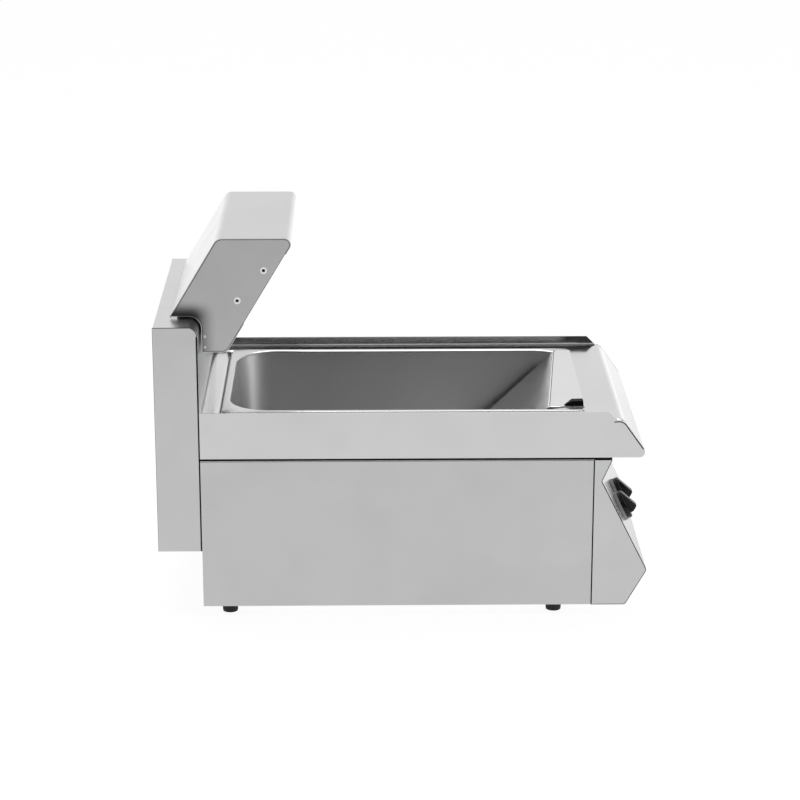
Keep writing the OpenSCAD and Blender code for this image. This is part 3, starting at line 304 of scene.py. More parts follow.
def join_arcs(arcs, steps):
    """One closed line of arcs, where each straight run from an arc to the next is cut into even steps."""
    share = np.linspace(0, 1, steps + 1)[1:-1, None]
    line = []
    for arc, following in zip(arcs, arcs[1:] + arcs[:1]):
        line += [arc, arc[-1] + (following[0] - arc[-1]) * share]
    return np.concatenate(line)


def cells(spots, closed=False):
    """Four-sided faces between the neighbours in a grid of point numbers. In a closed grid the last column
    joins the first."""
    if closed:
        spots = np.column_stack([spots, spots[:, 0]])
    return np.stack([spots[:-1, :-1], spots[:-1, 1:], spots[1:, 1:], spots[1:, :-1]], -1).reshape(-1, 4)


def clockwise(outline):
    """Whether a closed outline runs clockwise, from the sign of its area by the shoelace sum."""
    a, b = outline.T
    return np.dot(a, np.roll(b, -1)) < np.dot(b, np.roll(a, -1))


def piece(name, points, faces, material, body, sharp=32.0, bevel=0.0, thick=0.0):
    """Puts points in millimetres and faces into a mesh at the origin, smooth except across edges sharper
    than the given angle, and lets it ride on a body."""
    mesh = bpy.data.meshes.new(name)
    places = np.asarray(points, float).reshape(-1, 3) * mm
    mesh.from_pydata(places.tolist(), [], [list(map(int, face)) for face in faces])
    mesh.validate()
    mesh.polygons.foreach_set("use_smooth", np.ones(len(mesh.polygons), bool))
    mesh.set_sharp_from_angle(angle=math.radians(sharp))
    mesh.materials.append(material)
    thing = bpy.data.objects.new(name, mesh)
    bpy.context.scene.collection.objects.link(thing)
    if thick:
        wall = thing.modifiers.new("wall", "SOLIDIFY")
        wall.thickness = thick * mm
        wall.offset = -1.0
        wall.use_even_offset = True
    if bevel:
        edge = thing.modifiers.new("edge", "BEVEL")
        edge.width = bevel * mm
        edge.segments = 3
        edge.limit_method = "ANGLE"
        edge.angle_limit = math.radians(50.0)
        edge.harden_normals = True
    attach(thing, body)
    return thing


def plate(name, side, outline, outer, inner, material, bevel=0.0):
    """A flat plate on one side of the cabinet, -1 for left and 1 for right: the closed (y, z) outline is
    carried between the outer and the inner distance from the middle, with a face at each end."""
    ring = outline[::-1] if clockwise(outline) else outline
    around = np.arange(len(ring))
    points = [np.column_stack([np.full(len(ring), x), ring]) for x in sorted((side * outer, side * inner))]
    sides = cells(np.stack([around, around + len(ring)]), closed=True)
    faces = [*sides, around[::-1], around + len(ring)]
    thing = piece(name, np.concatenate(points), faces, material, "cabinet", bevel=bevel)
    return thing


both_sides = ((-1, "left"), (1, "right"))
(_, y_seam, z_side), (_, _, z_side_top) = node_box("left_side_panel")
(_, _, z_band), (half_w, y_back, z_rim) = node_box("worktop")
pan_low, pan_high = node_box("gastro_pan")
pan_y = (pan_low[1] + pan_high[1]) / 2
pan_edge_h = 4.0
z_deck = pan_high[2] - pan_edge_h
band_h = z_deck - z_band
rim_h = z_rim - z_deck
nose_angle = math.radians(54.7)
nose_reach, nose_return = 42.0, 34.0
nose_top_r, nose_low_r = 14.0, 8.0
rim_foot_gap = 0.3
nose_corner = np.array([y_seam - nose_reach, z_deck])
nose_tip = nose_corner - (band_h / math.tan(nose_angle), band_h)
rim_foot = nose_corner[0] + nose_top_r * math.tan(nose_angle / 2) + rim_foot_gap

# The deck is a ring of cells between its own edge and the cut-out, which has tight corners at the rear, where
# a slot stays open behind the pan, and wide ones at the front. At each corner the points of the arc share
# out the two edges that meet there, so that the middle one is the deck's own corner.
deck_half = half_w - 1.8
deck_front = y_seam - 8.395
slot_half, slot_y, slot_r = 161.0, pan_y + 267.6, 3.0
hole_half, hole_y, hole_r = 155.5, pan_y - 258.0, 50.0
corner_share = np.linspace(0, 1, 15)
cut_out, deck_edge = [], []
for quarter, (sx, sy) in enumerate(((1, 1), (-1, 1), (-1, -1), (1, -1))):
    if sy > 0:
        half, far, r, edge_y = slot_half, slot_y, slot_r, y_back
    else:
        half, far, r, edge_y = hole_half, hole_y, hole_r, deck_front
    centre = (sx * (half - r), far - sy * r)
    cut_out.append(centre + r * circle(math.pi / 2 * (quarter + corner_share)))
    past_side = corner_share if quarter % 2 == 0 else 1 - corner_share
    on_side = past_side < 0.5
    side_x = sx * deck_half
    deck_edge.append(np.column_stack([
        np.where(on_side, side_x, centre[0] + (side_x - centre[0]) * 2 * (1 - past_side)),
        np.where(on_side, centre[1] + (edge_y - centre[1]) * 2 * past_side, edge_y)]))
cut_out, deck_edge = join_arcs(cut_out, 9), join_arcs(deck_edge, 9)
ring_share = np.linspace(0, 1, 4)[:, None, None]
ring = deck_edge + (cut_out - deck_edge) * ring_share
deck = np.concatenate([ring, np.full(ring.shape[:2] + (1,), z_deck)], -1)
deck_cells = cells(np.arange(ring.shape[0] * ring.shape[1]).reshape(ring.shape[:2]), closed=True)

# The nose is the deck's front edge carried along a bent line, down and back under.
front_spots = np.where(np.abs(deck_edge[:, 1] - deck_front) < 0.01)[0]
front_spots = front_spots[np.argsort(deck_edge[front_spots, 0])]
nose_line = rounded(
    [(deck_front, z_deck), nose_corner, nose_tip, (nose_tip[0] + nose_return, z_band)],
    [0, nose_top_r, nose_low_r, 0], steps=24)[1:]
nose = np.empty((len(nose_line), len(front_spots), 3))
nose[..., 0] = deck_edge[front_spots, 0]
nose[..., 1:] = nose_line[:, None]
nose_spots = deck.size // 3 + np.arange(nose.size // 3).reshape(nose.shape[:2])
nose_cells = cells(np.concatenate([front_spots[None], nose_spots]))[:, ::-1]
worktop_steel = brushed("worktop_bright", (0.91, 0.91, 0.912), 0.14, "y", scratch=0.015, depth=0.001)
worktop = piece(
    "worktop_sheet", np.concatenate([deck.reshape(-1, 3), nose.reshape(-1, 3)]),
    np.concatenate([deck_cells, nose_cells]), worktop_steel, "cabinet", thick=1.5)
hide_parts("worktop")

# Side band, the hem that stands behind it, and the fillet at the hem's foot. The two hems are one steel in
# two tints: the far one is painted much darker than the near one, which is painted shade.
rim_end = (rim_foot + rim_h, z_rim)
rim_end_r, rim_foot_r = 1.5, 1.0
band_line = rounded(
    [(y_back, z_band), (y_back, z_rim), rim_end, (rim_foot, z_deck), nose_corner, nose_tip],
    [0, 0, rim_end_r, rim_foot_r, nose_top_r, nose_low_r], closed=True)
hem_line = rounded(
    [(y_back, z_deck), (y_back, z_rim), rim_end, (rim_foot, z_deck)], [0, 0, rim_end_r, 0], closed=True)
band_steel = brushed("worktop_band", (0.99, 0.99, 0.99), 0.3, "y", scratch=0.02, depth=0.002)
hem_shade_tints = {"left": 0.8, "right": 0.32}
band_outer, band_inner = half_w - 0.05, half_w - 1.5
hem_outer, hem_inner = half_w - 1.45, half_w - 3.0
foot_r = 0.4
foot_start = rim_foot + 14.0
foot_arc = circle(np.radians(np.linspace(180, 270, 9)))
for side, word in both_sides:
    # Painted shade: the hem's tint, much darker on the far side than on the near one.
    tint = hem_shade_tints[word]
    hem_steel = brushed(
        f"worktop_rim_painted_shade_{word}", (tint, tint, tint), 0.22, "y", scratch=0.003, depth=0.0001, blotch=0.01)
    plate(f"worktop_band_{word}", side, band_line, band_outer, band_inner, band_steel, 0.35)
    plate(f"worktop_hem_{word}", side, hem_line, hem_outer, hem_inner, hem_steel)
    foot = np.empty((2, len(foot_arc), 3))
    foot[..., 0] = side * (hem_inner - foot_r - foot_r * foot_arc[:, 0])
    foot[..., 1] = [[foot_start], [y_back]]
    foot[..., 2] = z_deck + foot_r + foot_r * foot_arc[:, 1]
    foot_cells = cells(np.arange(foot.size // 3).reshape(2, -1))
    foot_cells = foot_cells if side > 0 else foot_cells[:, ::-1]
    fillet = piece(f"worktop_foot_{word}", foot, foot_cells, hem_steel, "cabinet")


def moulded(name, colour, rough, grain=400.0, depth=0.05, shine=0.5):
    """Moulded or pressed stuff: one fine noise gives the surface its bump, moves its roughness a fifth
    either way and its colour a little."""
    material, tree, shader = new_material(name)
    shader.inputs["Specular IOR Level"].default_value = shine
    nodes = add_nodes(
        tree, where="ShaderNodeTexCoord", noise="ShaderNodeTexNoise", rough_ramp="ShaderNodeMapRange",
        tone="ShaderNodeMix", bump="ShaderNodeBump")
    nodes.noise.inputs["Scale"].default_value = grain
    nodes.noise.inputs["Detail"].default_value = 4.0
    set_ramp(nodes.rough_ramp, target=(rough * 0.8, min(1.0, rough * 1.2)))
    nodes.tone.data_type = "RGBA"
    nodes.tone.inputs["A"].default_value = toned(colour, 0.85)
    nodes.tone.inputs["B"].default_value = toned(colour, 1.15)
    nodes.bump.inputs["Strength"].default_value = depth
    nodes.bump.inputs["Distance"].default_value = 0.4 * mm
    wire_up(
        tree,
        (nodes.where.outputs["Object"], nodes.noise.inputs["Vector"]),
        (nodes.noise.outputs["Fac"], nodes.rough_ramp.inputs["Value"]),
        (nodes.rough_ramp.outputs["Result"], shader.inputs["Roughness"]),
        (nodes.noise.outputs["Fac"], nodes.tone.inputs["Factor"]),
        (nodes.tone.outputs["Result"], shader.inputs["Base Color"]),
        (nodes.noise.outputs["Fac"], nodes.bump.inputs["Height"]),
        (nodes.bump.outputs["Normal"], shader.inputs["Normal"]))
    return material


# Painted reflection: a thin dark ribbon along the nose's bend, where the band's edge meets the nose, stands
# in for a dark line that the bend mirrors.
# Painted shade: a black strip fills the joint below the band and stands in for the shadow in it.
# One matt black for painted shade and painted reflection: the nose's dark line, the joint below the band, the
# gaps round caps, riser ends and cheeks, and the screws' sockets.
painted_shade_black = moulded("painted_shade_black", (0.01, 0.01, 0.01), 0.7, shine=0.15)
down_nose = np.array([-math.cos(nose_angle), -math.sin(nose_angle)])
dark_line_start = (rim_foot + 6.0, z_deck - 1.2)
dark_line_length = 53.0
dark_line_edges = (0.1, 1.7)
dark_line_inner = half_w - 0.6
dark_line_path = rounded(
    [dark_line_start, nose_corner, nose_corner + dark_line_length * down_nose], [0, nose_top_r, 0], steps=12)
dark_line_ribbon = np.concatenate([beside(dark_line_path, dark_line_edges[0]), beside(dark_line_path, dark_line_edges[1])[::-1]])
joint_front = y_seam - 27.0
joint_low, joint_high = z_side_top - 0.2, z_band + 0.2
joint_outer, joint_inner = half_w - 1.2, half_w - 2.2
joint_line = np.array(
    [(y_back, joint_low), (y_back, joint_high), (joint_front, joint_high), (joint_front, joint_low)])
for side, word in both_sides:
    plate(f"nose_painted_reflection_{word}", side, dark_line_ribbon, half_w, dark_line_inner, painted_shade_black)
    plate(f"joint_painted_shade_{word}", side, joint_line, joint_outer, joint_inner, painted_shade_black)

# Control panel
# One stainless sheet folded to a brow, a long knob face and a rounded nose, and brushed across. A flat cap
# closes each end, a little smaller all round than the folded sheet, so that a gap runs round it, and a
# black plate behind the cap fills that gap with painted shade.


def bent_sheet(name, line, thick, half, material):
    """A sheet of even thickness: the open (y, z) line and the same line moved sideways close a ring. It is
    carried straight across, half the width to each side of the middle, and its ends are closed by cells."""
    ring = np.concatenate([line, beside(line, thick)[::-1]])
    count = len(ring)
    spots = np.arange(2 * count).reshape(2, count)
    points = [np.column_stack([np.full(count, x), ring]) for x in (-half, half)]
    k = np.arange(len(line) - 1)
    low_end = np.column_stack([k, count - 1 - k, count - 2 - k, k + 1])
    faces = np.concatenate([cells(spots, closed=True), low_end, low_end[:, ::-1] + count])
    if not clockwise(ring):
        faces = faces[:, ::-1]
    thing = piece(name, np.concatenate(points), faces, material, "cabinet")
    return thing


sheet_t = 1.2
face_lean = math.radians(26.6)
brow_reach, notch_reach, foot_reach = 28.0, 13.0, 51.0
notch_h, panel_nose_h = 192.0, 54.5
fold_r, panel_nose_r, panel_foot_r = 1.5, 8.0, 5.0
panel_half = half_w - 0.7
notch = np.array([y_seam - notch_reach, z_side + notch_h])
panel_nose = notch - (notch_h - panel_nose_h) * np.array([math.tan(face_lean), 1.0])
panel_line = rounded(
    [(y_seam, z_side_top), (y_seam - brow_reach, z_side_top), notch, panel_nose,
     (y_seam - foot_reach, z_side), (y_seam, z_side)],
    [0, fold_r, fold_r, panel_nose_r, panel_foot_r, 0], steps=18)
panel_steel = brushed(
    "control_panel_steel", (0.98, 0.98, 0.98), 0.24, "x", scratch=0.015, depth=0.0008, blotch=0.01)
panel = bent_sheet("control_panel_sheet", panel_line, sheet_t, panel_half, panel_steel)
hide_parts("front_panel")
cap_steel = brushed("end_cap_brushed", (0.89, 0.89, 0.895), 0.32, "z")
cap_gap = 1.1
cap_back = y_seam - 0.8
cap_inner, cap_shade_inner = half_w - 0.6, half_w - 1.2
cap_line = np.concatenate([panel_line[1:-1], [(cap_back, z_side), (cap_back, z_side_top)]])
inset_cap = beside(cap_line, cap_gap, closed=True)
for side, word in both_sides:
    cap = plate(f"end_cap_{word}", side, inset_cap, half_w, cap_inner, cap_steel, 0.2)
    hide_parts(f"{word}_end_cap")
    plate(f"end_cap_gap_shade_{word}", side, cap_line, cap_inner, cap_shade_inner, painted_shade_black)

# Riser
# A tall narrow steel box behind the worktop: one bent cover over its front and top, a flat plate at each
# end, and a screwed back. Below the cover's bend an open joint runs beside each end plate, and a black
# plate behind it fills the joint with painted shade.
(_, _, z_riser), (_, riser_back, riser_top) = node_box("riser_cover")
riser_front_r, riser_rear_r, end_rear_r = 15.0, 2.0, 1.0
riser_tab = 10.0
cover_half = half_w - 0.8
cover_line = rounded(
    [(y_back, z_riser), (y_back, riser_top), (riser_back, riser_top), (riser_back, riser_top - riser_tab)],
    [0, riser_front_r, riser_rear_r, 0], steps=20)
riser_steel = brushed("riser_steel", (0.82, 0.82, 0.825), 0.3, "x", scratch=0.02, depth=0.001)
cover = bent_sheet("riser_cover_sheet", cover_line, -sheet_t, cover_half, riser_steel)
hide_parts("riser_cover")
end_line = rounded(
    [(y_back, z_riser), (y_back, riser_top), (riser_back, riser_top), (riser_back, z_riser)],
    [0, riser_front_r, end_rear_r, 0], steps=20, closed=True)
straight_gap, bend_gap = 2.2, 0.6
top_gap, back_gap = 0.8, 0.495
bend_foot = riser_top - 13.5
at_front = end_line[:, 0] < (y_back + riser_back) / 2
front_gap = np.where(end_line[:, 1] < bend_foot, straight_gap, bend_gap) * at_front
inset_end = np.minimum(
    end_line + np.column_stack([front_gap, np.zeros(len(end_line))]),
    (riser_back - back_gap, riser_top - top_gap))
riser_side = brushed("riser_side_steel", (0.88, 0.88, 0.885), 0.32, "z")
end_inner = half_w - 0.2
for side, word in both_sides:
    plate(f"riser_gap_shade_{word}", side, end_line, end_inner, cover_half, painted_shade_black)
    end = plate(f"riser_end_{word}", side, inset_end, half_w, end_inner, riser_side, 0.15)
    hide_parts(f"riser_{word}_end")
dress(casing_across, "riser_back_panel")

# Hood
# A bright bent sheet over the top and rear slope, a lower panel round the neck, and a flat brushed cheek at
# each end, held by screws with a bright flange. It leans 31 degrees forward, over the pan.
hood_slope = math.radians(31.0)
hood_depth = 113.5
heel_gap = 3.0
hood_half, heel_y, hood_top = node_box("hood_shell")[1]
(_, _, z_neck), (_, y_seat, _) = node_box("hood_lower_panel")
hood_up = np.array([-math.sin(hood_slope), math.cos(hood_slope)])
hood_in = np.array([math.cos(hood_slope), math.sin(hood_slope)])
hood_heel = np.array([heel_y, riser_top + heel_gap])
hood_rear = np.array([heel_y - (hood_top - hood_heel[1]) * math.tan(hood_slope), hood_top])
hood_front = hood_rear - (hood_depth, 0.0)
hood_low = np.array([hood_front[0] + (hood_top - z_neck) * math.tan(hood_slope), z_neck])
hood_front_r, hood_rear_r, hood_low_r = 9.5, 14.0, 14.0
shell_front_l, lower_front_l = 28.0, 48.0
shell_lip = hood_front - shell_front_l * hood_up
lower_lip = hood_low + lower_front_l * hood_up
shell_line = rounded(
    [hood_heel, hood_rear, hood_front, shell_lip], [0, hood_rear_r, hood_front_r, 0], steps=20)
lower_line = rounded([(y_seat, z_neck), hood_low, lower_lip], [0, hood_low_r, 0], steps=20)
hood_steel = brushed("hood_steel", (0.77, 0.77, 0.77), 0.24, "x", scratch=0.02, depth=0.002)
shell = bent_sheet("hood_shell_sheet", shell_line, sheet_t, hood_half, hood_steel)
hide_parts("hood_shell")
lower = bent_sheet("hood_lower_sheet", lower_line, -sheet_t, hood_half, hood_steel)
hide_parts("hood_lower_panel")
return_l = 10.0
return_half = hood_half - 1.4
returns = (("hood_shell_return", shell_lip, sheet_t), ("hood_lower_return", lower_lip, -sheet_t))
for name, lip, thick in returns:
    turn_in = np.array([lip, lip + return_l * hood_in])
    bent_sheet(name, turn_in, thick, return_half, hood_steel)

# Painted shade: the cheek is painted darker in the hollow between neck and riser, where shade falls. Two
# soft ramps, from the heel's lower edge upward and from behind the neck forward, multiply the steel's tone.
# They are in metres, as Object coordinates are.
heel_shade, neck_shade = (0.4445, 0.47), (0.266, 0.304)
cheek_steel_painted_shade = brushed("cheek_steel_painted_shade", (0.7, 0.7, 0.705), 0.3, "y", scratch=0.02, depth=0.002)
cheek_tree = cheek_steel_painted_shade.node_tree
cheek_colour = cheek_tree.nodes["Principled BSDF"].inputs["Base Color"]
plain_tone = cheek_colour.links[0].from_socket
painted_hollow_shade = add_nodes(
    cheek_tree, where="ShaderNodeTexCoord", parts="ShaderNodeSeparateXYZ", low="ShaderNodeMapRange",
    rear="ShaderNodeMapRange", both="ShaderNodeMath", darken="ShaderNodeMix")
set_ramp(painted_hollow_shade.low, heel_shade, (1.0, 0.0), soft=True)
set_ramp(painted_hollow_shade.rear, neck_shade, (0.0, 1.0), soft=True)
painted_hollow_shade.both.operation = "MULTIPLY"
painted_hollow_shade.darken.data_type = "RGBA"
painted_hollow_shade.darken.blend_type = "MULTIPLY"
painted_hollow_shade.darken.inputs["B"].default_value = (0.16, 0.16, 0.165, 1.0)
wire_up(
    cheek_tree,
    (painted_hollow_shade.where.outputs["Object"], painted_hollow_shade.parts.inputs[0]),
    (painted_hollow_shade.parts.outputs["Z"], painted_hollow_shade.low.inputs["Value"]),
    (painted_hollow_shade.parts.outputs["Y"], painted_hollow_shade.rear.inputs["Value"]),
    (painted_hollow_shade.low.outputs["Result"], painted_hollow_shade.both.inputs[0]),
    (painted_hollow_shade.rear.outputs["Result"], painted_hollow_shade.both.inputs[1]),
    (painted_hollow_shade.both.outputs[0], painted_hollow_shade.darken.inputs["Factor"]),
    (plain_tone, painted_hollow_shade.darken.inputs["A"]),
    (painted_hollow_shade.darken.outputs["Result"], cheek_colour))
neck_r = 18.0
cheek_line = rounded(
    [(y_seat, z_neck), hood_low, hood_front, hood_rear, hood_heel, (y_seat, hood_heel[1])],
    [0, hood_low_r, hood_front_r, hood_rear_r, 0, neck_r], steps=18, closed=True)
# Painted shade: a black plate behind each cheek, a little larger than the cheek, fills the gap round it.
shade_gap, cheek_gap = 1.3, 2.0
inset_shade = beside(cheek_line, -shade_gap, closed=True)
inset_cheek = beside(cheek_line, -cheek_gap, closed=True)
cheek_inner, cheek_shade_inner = hood_half - 0.6, hood_half - 1.3
for side, word in both_sides:
    plate(f"cheek_gap_shade_{word}", side, inset_shade, cheek_inner, cheek_shade_inner, painted_shade_black)
    cheek = plate(
        f"hood_cheek_{word}", side, inset_cheek, hood_half, cheek_inner, cheek_steel_painted_shade, 0.2)
    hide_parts(f"hood_{word}_cheek")


def turned(profile, places, axis, steps=28):
    """Round bodies: at each place the open (radius, height) profile is swept round the axis. A point is the
    place, plus its height along the axis, plus its radius times the cosine of the angle along one cross
    direction and the sine along the other."""
    axis = np.array(axis, float) / np.linalg.norm(axis)
    cross = np.cross(axis, (0.0, 0.0, 1.0))
    cross /= np.linalg.norm(cross)
    angles = np.linspace(0, 2 * math.pi, steps, endpoint=False)
    around = circle(angles) @ np.array([cross, np.cross(axis, cross)])
    radius, height = np.array(profile, float).T
    body = height[:, None, None] * axis + radius[:, None, None] * around
    spots = np.arange(len(radius) * steps).reshape(len(radius), steps)
    points = np.array(places)[:, None, None] + body
    faces = [cells(spots + spots.size * k, closed=True) for k in range(len(places))]
    return points.reshape(-1, 3), np.concatenate(faces)


# Two flanged socket screws hold each cheek, at a share of the mouth's length and a depth behind it.
painted_glint_steel = moulded("painted_glint_steel", (0.86, 0.86, 0.86), 0.3, shine=0.8)
# Painted highlight: this steel glows a little, though it is no lamp, so that the screw flanges and the heel
# hems below read bright.
glint = painted_glint_steel.node_tree.nodes["Principled BSDF"]
glint.inputs["Emission Color"].default_value = (1.0, 1.0, 1.0, 1.0)
glint.inputs["Emission Strength"].default_value = 0.35
mouth = hood_front - hood_low
screw_places = ((0.379, 26.0), (0.6735, 16.0))
screw_spots = [hood_low + share * mouth + depth * hood_in for share, depth in screw_places]
screw_profile = [(2.6, 0.2), (2.6, 2.2), (2.9, 2.4), (4.0, 2.4), (4.9, 1.2), (4.9, 0.0)]
socket_profile = [(0.0, 0.5), (2.7, 0.5)]
for side, word in both_sides:
    places = [(side * hood_half, *spot) for spot in screw_spots]
    outward = (side, 0, 0)
    head = piece(f"hood_screws_{word}", *turned(screw_profile, places, outward), painted_glint_steel, "cabinet")
    # Painted shade: each socket is a flat black disc in place of a hole.
    socket = piece(
        f"hood_socket_shade_{word}", *turned(socket_profile, places, outward, steps=6), painted_shade_black, "cabinet")
    if side < 0:
        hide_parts("hood_screws")

# The shell's rear edge is hemmed at its two corners, a short bar below each heel, which the glowing steel
# makes bright: a painted highlight.
hem_rear, hem_front = hood_heel[0] - 0.4, hood_heel[0] - 10.6
hem_high, hem_low = hood_heel[1] - 0.1, hood_heel[1] - 2.8
heel_hem_line = rounded(
    [(hem_rear, hem_high), (hem_rear, hem_low), (hem_front, hem_low), (hem_front, hem_high)],
    [0.5, 1.2, 1.2, 0.5], steps=5, closed=True)
heel_hem_outer, heel_hem_inner = hood_half - 0.1, hood_half - 6.0
for side, word in both_sides:
    plate(
        f"hood_heel_hem_{word}", side, heel_hem_line, heel_hem_outer, heel_hem_inner, painted_glint_steel,
        0.2)
dress(casing_across, "hood_back_panel")
dress(riser_side, "neck_rivets")

# Inside
# What the casing hides: the well with its element, wool and shield, the controls with their shafts, the
# cables, and the rails that carry the worktop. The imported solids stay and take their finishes.
inner_steel = brushed("inner_steel", (0.6, 0.6, 0.61), 0.38, "x")
dark_steel = brushed("dark_steel", (0.34, 0.34, 0.35), 0.34, "z")
black_plastic = moulded("black_plastic", (0.012, 0.012, 0.013), 0.3, grain=700.0)
black_rubber = moulded("black_rubber", (0.018, 0.018, 0.018), 0.6, grain=300.0, depth=0.15)
glazed = moulded("glazed_ceramic", (0.8, 0.78, 0.73), 0.25, grain=120.0)
wool = moulded("pressed_wool", (0.7, 0.64, 0.5), 0.9, grain=160.0, depth=0.6)
quartz = moulded("ruby_quartz", (0.55, 0.16, 0.1), 0.12, grain=60.0, depth=0.02)
dress(inner_steel, "deck_rails", "well_box", "heater_supports", "heat_shield", "hood_spacers", "reflector")
dress(dark_steel, "base_heater", "thermostat", "thermostat_shaft", "switch_shaft", "guard_grille")
dress(dark_steel, "panel_screws", "foot_screws", "riser_screws", "riser_bolts", "hood_bolts")
dress(black_plastic, "rotary_switch", "cable_gland")
dress(black_rubber, "cable_grommets", "hood_cable", "control_cable", "feet")
dress(glazed, "lamp_sockets", "terminal_block")
dress(wool, "insulation_slab")
dress(quartz, "heat_lamps")

# Pan
# A pressed catering pan of the full standard size: flange with a turned down edge, walls that lean in
# slightly, and a well rounded floor. It hangs in the cut-out by its flange.


def round_box(length, width, rear_r, front_r):
    """Closed outline (x, y) of a box with round corners: a quarter circle at each corner, of one radius at
    the rear and one at the front, and each straight side cut into eight."""
    arcs = []
    for quarter, (sx, sy) in enumerate(((1, 1), (-1, 1), (-1, -1), (1, -1))):
        r = rear_r if sy > 0 else front_r
        centre = (sx * (width / 2 - r), sy * (length / 2 - r))
        arcs.append(centre + r * circle(math.pi / 2 * (quarter + np.linspace(0, 1, 15))))
    return join_arcs(arcs, 8)


pan_w, pan_l, _ = pan_high - pan_low
pan_t = 1.0
flange, edge_r, lip_r, floor_r = 10.0, 1.6, 4.0, 22.0
flange_corner_r, rear_r, front_r = 14.0, 58.0, 48.0
draw_in, rear_tighter, front_tighter = 6.0, 12.0, 3.0
wall_foot = pan_low[2] + pan_t + floor_r


def quarter_bend(steps):
    """A quarter turn of radius 1: one minus the cosine, and the sine, of its angle at each step."""
    return [(1 - math.cos(angle), math.sin(angle)) for angle in np.linspace(0, math.pi / 2, steps + 1)]


def pan_row(inset, z, rear, front):
    """The pan's outline at one height, drawn in from its outer edge all round."""
    outline = round_box(pan_l - 2 * inset, pan_w - 2 * inset, rear, front)
    return np.column_stack([outline[:, 0], outline[:, 1] + pan_y, np.full(len(outline), z)])


# Rows from the flange's lower edge over its rim, round its inner bend, down the wall and round the floor's
# edge. A bend draws the outline in by its radius times one minus the cosine, and moves it up or down by the
# radius times the sine. The inner bend is walked from its far end.
rows = [pan_row(0.0, z_deck, flange_corner_r, flange_corner_r)]
for aside, along in quarter_bend(6):
    corner_r = flange_corner_r - edge_r * aside
    rows.append(pan_row(edge_r * aside, pan_high[2] - edge_r + edge_r * along, corner_r, corner_r))
for aside, along in reversed(quarter_bend(6)):
    wider = lip_r * aside
    rows.append(pan_row(flange - wider, z_deck + lip_r * along, rear_r + wider, front_r + wider))
for share in (0.25, 0.5, 0.75):
    rows.append(pan_row(
        flange + draw_in * share, z_deck + (wall_foot - z_deck) * share,
        rear_r - rear_tighter * share, front_r - front_tighter * share))
for aside, along in quarter_bend(11):
    tighter = floor_r * aside
    rows.append(pan_row(
        flange + draw_in + tighter, wall_foot - floor_r * along,
        rear_r - rear_tighter - tighter, front_r - front_tighter - tighter))
grid = np.stack(rows)
pan_spots = np.arange(grid.size // 3).reshape(grid.shape[:2])
pan_steel = brushed("pan_steel", (0.575, 0.575, 0.58), 0.4, "y", scratch=0.03, depth=0.003)
pan_rim_steel = brushed("pan_rim_steel", (0.84, 0.84, 0.845), 0.2, "y", scratch=0.015, depth=0.001)
pan = piece(
    "pan_pressing", grid, [*cells(pan_spots, closed=True), pan_spots[-1]], pan_steel, "pan", sharp=60.0,
    thick=pan_t)
pan.data.materials.append(pan_rim_steel)
# The flange's edge, its flat and most of its inner bend are polished: the first twelve rows of cells.
rim_rows = 12
finish = np.zeros(len(pan.data.polygons), np.int32)
finish[:rim_rows * grid.shape[1]] = 1
pan.data.polygons.foreach_set("material_index", finish)
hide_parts("gastro_pan")

# Chip tray
# One bright sheet: a lip on the pan's front flange, a ramp that runs out of square, and a perforated floor
# on two welded legs. The imported solid stays, and a dark line at the head of its fold, a painted reflection
# of the bend, is drawn on it.
tray_steel = brushed("tray_steel", (1.0, 1.0, 1.0), 0.18, "x", scratch=0.02, depth=0.002)
dress(tray_steel, "chip_tray")
(_, y_lip, _), (tray_half, _, z_lip) = node_box("chip_tray")
lip_l = 39.0
fold_skew = 27.0
reflection_edges = (0.2, 1.2)
fold_x = np.linspace(1.0 - tray_half, tray_half - 1.0, 6)
fold_y = y_lip + lip_l - fold_x * fold_skew / (2 * tray_half)
fold_z = np.full(len(fold_x), z_lip + 0.05)
fold_reflection = np.stack([np.column_stack([fold_x, fold_y - ahead_by, fold_z]) for ahead_by in reflection_edges])
fold_reflection_cells = cells(np.arange(fold_reflection.size // 3).reshape(2, -1))[:, ::-1]
fold_reflection_grey = moulded("fold_reflection_grey", (0.05, 0.05, 0.05), 0.5, shine=0.2)
fold = piece("tray_fold_line", fold_reflection, fold_reflection_cells, fold_reflection_grey, "tray")

# Grip
# A black moulded block fixed on the tray's lip, by which the tray is lifted. It narrows to a point at the
# rear, where its flat near side stays and its far side draws in.
grip_black = moulded("grip_black", (0.004, 0.004, 0.004), 0.5, shine=0.12)
(grip_low_x, _, _), (_, grip_rear, _) = node_box("tray_grip")
grip_near = grip_low_x + 1.0
grip_w = 12.0
taper_l = 13.0
tip = grip_rear - 0.195
grip_line = rounded(
    [(tip - 28.6, z_lip), (tip - 28.0, z_lip + 6.35), (tip - 11.8, z_lip + 6.15), (tip, z_lip + 0.55),
     (tip - 0.8, z_lip)],
    [0.4, 0.5, 0.8, 0.2, 0.2], steps=5, closed=True)
width_share = np.clip((tip + 0.8 - grip_line[:, 0]) / taper_l, 0.12, 1.0)
near_side = np.column_stack([np.full(len(grip_line), grip_near), grip_line])
far_side = np.column_stack([grip_near + grip_w * width_share, grip_line])
grip_spots = np.arange(2 * len(grip_line)).reshape(2, -1)
k = np.arange(1, len(grip_line) - 1)
fan = np.column_stack([0 * k, k, k + 1])
grip_faces = [*cells(grip_spots, closed=True), *fan[:, ::-1], *(fan + len(grip_line))]
grip = piece(
    "tray_grip_block", np.concatenate([near_side, far_side]), grip_faces, grip_black, "tray", bevel=0.25)
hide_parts("tray_grip")

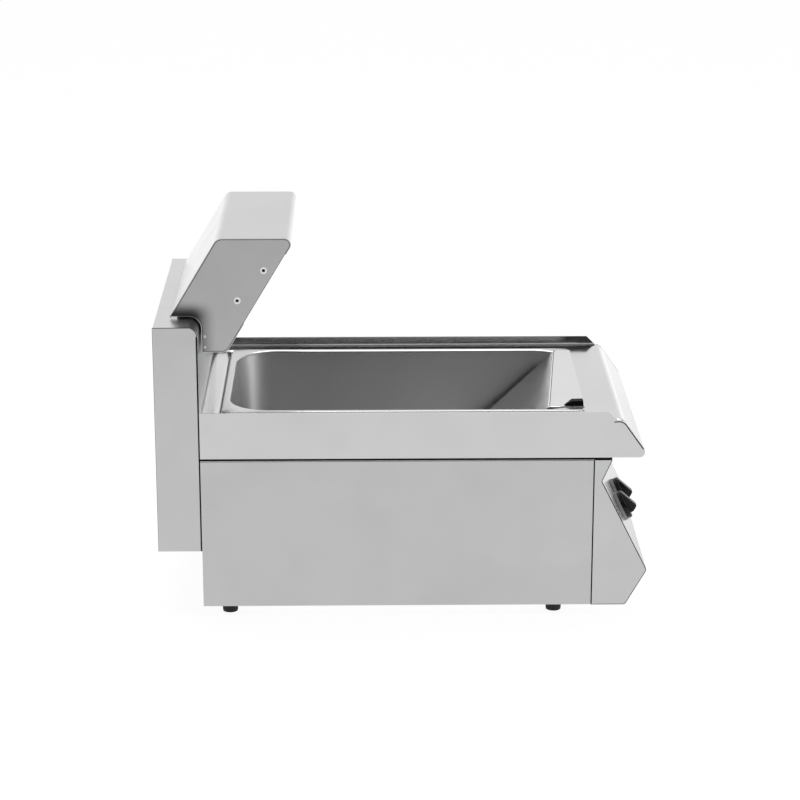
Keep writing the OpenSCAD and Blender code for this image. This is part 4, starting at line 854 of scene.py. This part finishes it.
# Knobs
# Black moulded knobs with a raised bar, each in a satin grey ring on the control panel. A hub runs from the
# disc through the ring to the shaft.
satin_grey = moulded("satin_grey", (0.42, 0.42, 0.425), 0.35)
knob_black = moulded("knob_black", (0.01, 0.01, 0.011), 0.28, grain=700.0, shine=0.4)
face_out = np.array([0.0, -math.cos(face_lean), math.sin(face_lean)])
face_up = np.array([0.0, math.sin(face_lean), math.cos(face_lean)])
knob_drop = 78.0
knob_y, knob_z = notch - knob_drop * face_up[1:]
bezel_profile = [
    (8.3, 0.3), (22.5, 0.3), (22.5, 3.6), (22.3, 4.5), (21.7, 5.0), (8.3, 5.0), (8.3, 0.3)]
disc_profile = [
    (0.0, 10.0), (3.0, 10.0), (3.0, 0.4), (8.0, 0.4), (8.0, 5.3), (20.9, 5.3), (21.5, 5.9), (21.5, 10.6),
    (21.1, 11.4), (20.2, 12.0), (0.0, 12.0)]
# The bar's side view: how far up the face, and how far out of it.
bar_half = 6.0
bar_line = rounded(
    [(20.3, 11), (20.3, 13), (-7.5, 24.5), (-10.8, 21.2), (-14, 16.5), (-14, 11)],
    [0, 1.6, 1.0, 1.0, 1.6, 0], steps=6, closed=True)
for word in ("thermostat", "switch"):
    knob_low, knob_high = node_box(f"{word}_knob")
    centre = np.array([(knob_low[0] + knob_high[0]) / 2, knob_y, knob_z])
    bezel = piece(
        f"{word}_bezel", *turned(bezel_profile, [centre], face_out, steps=48), satin_grey, "cabinet")
    disc, disc_cells = turned(disc_profile, [centre], face_out, steps=48)
    bar = centre + bar_line[:, :1] * face_up + bar_line[:, 1:] * face_out
    bar_points = np.concatenate([bar - (bar_half, 0, 0), bar + (bar_half, 0, 0)])
    bar_spots = len(disc) + np.arange(2 * len(bar)).reshape(2, -1)
    knob = piece(
        f"{word}_knob_moulding", np.concatenate([disc, bar_points]),
        [*disc_cells, *cells(bar_spots, closed=True), bar_spots[0, ::-1], bar_spots[1]],
        knob_black, f"{word}_dial", bevel=0.5)
    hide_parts(f"{word}_knob")
    if word == "thermostat":
        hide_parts("knob_bezels")
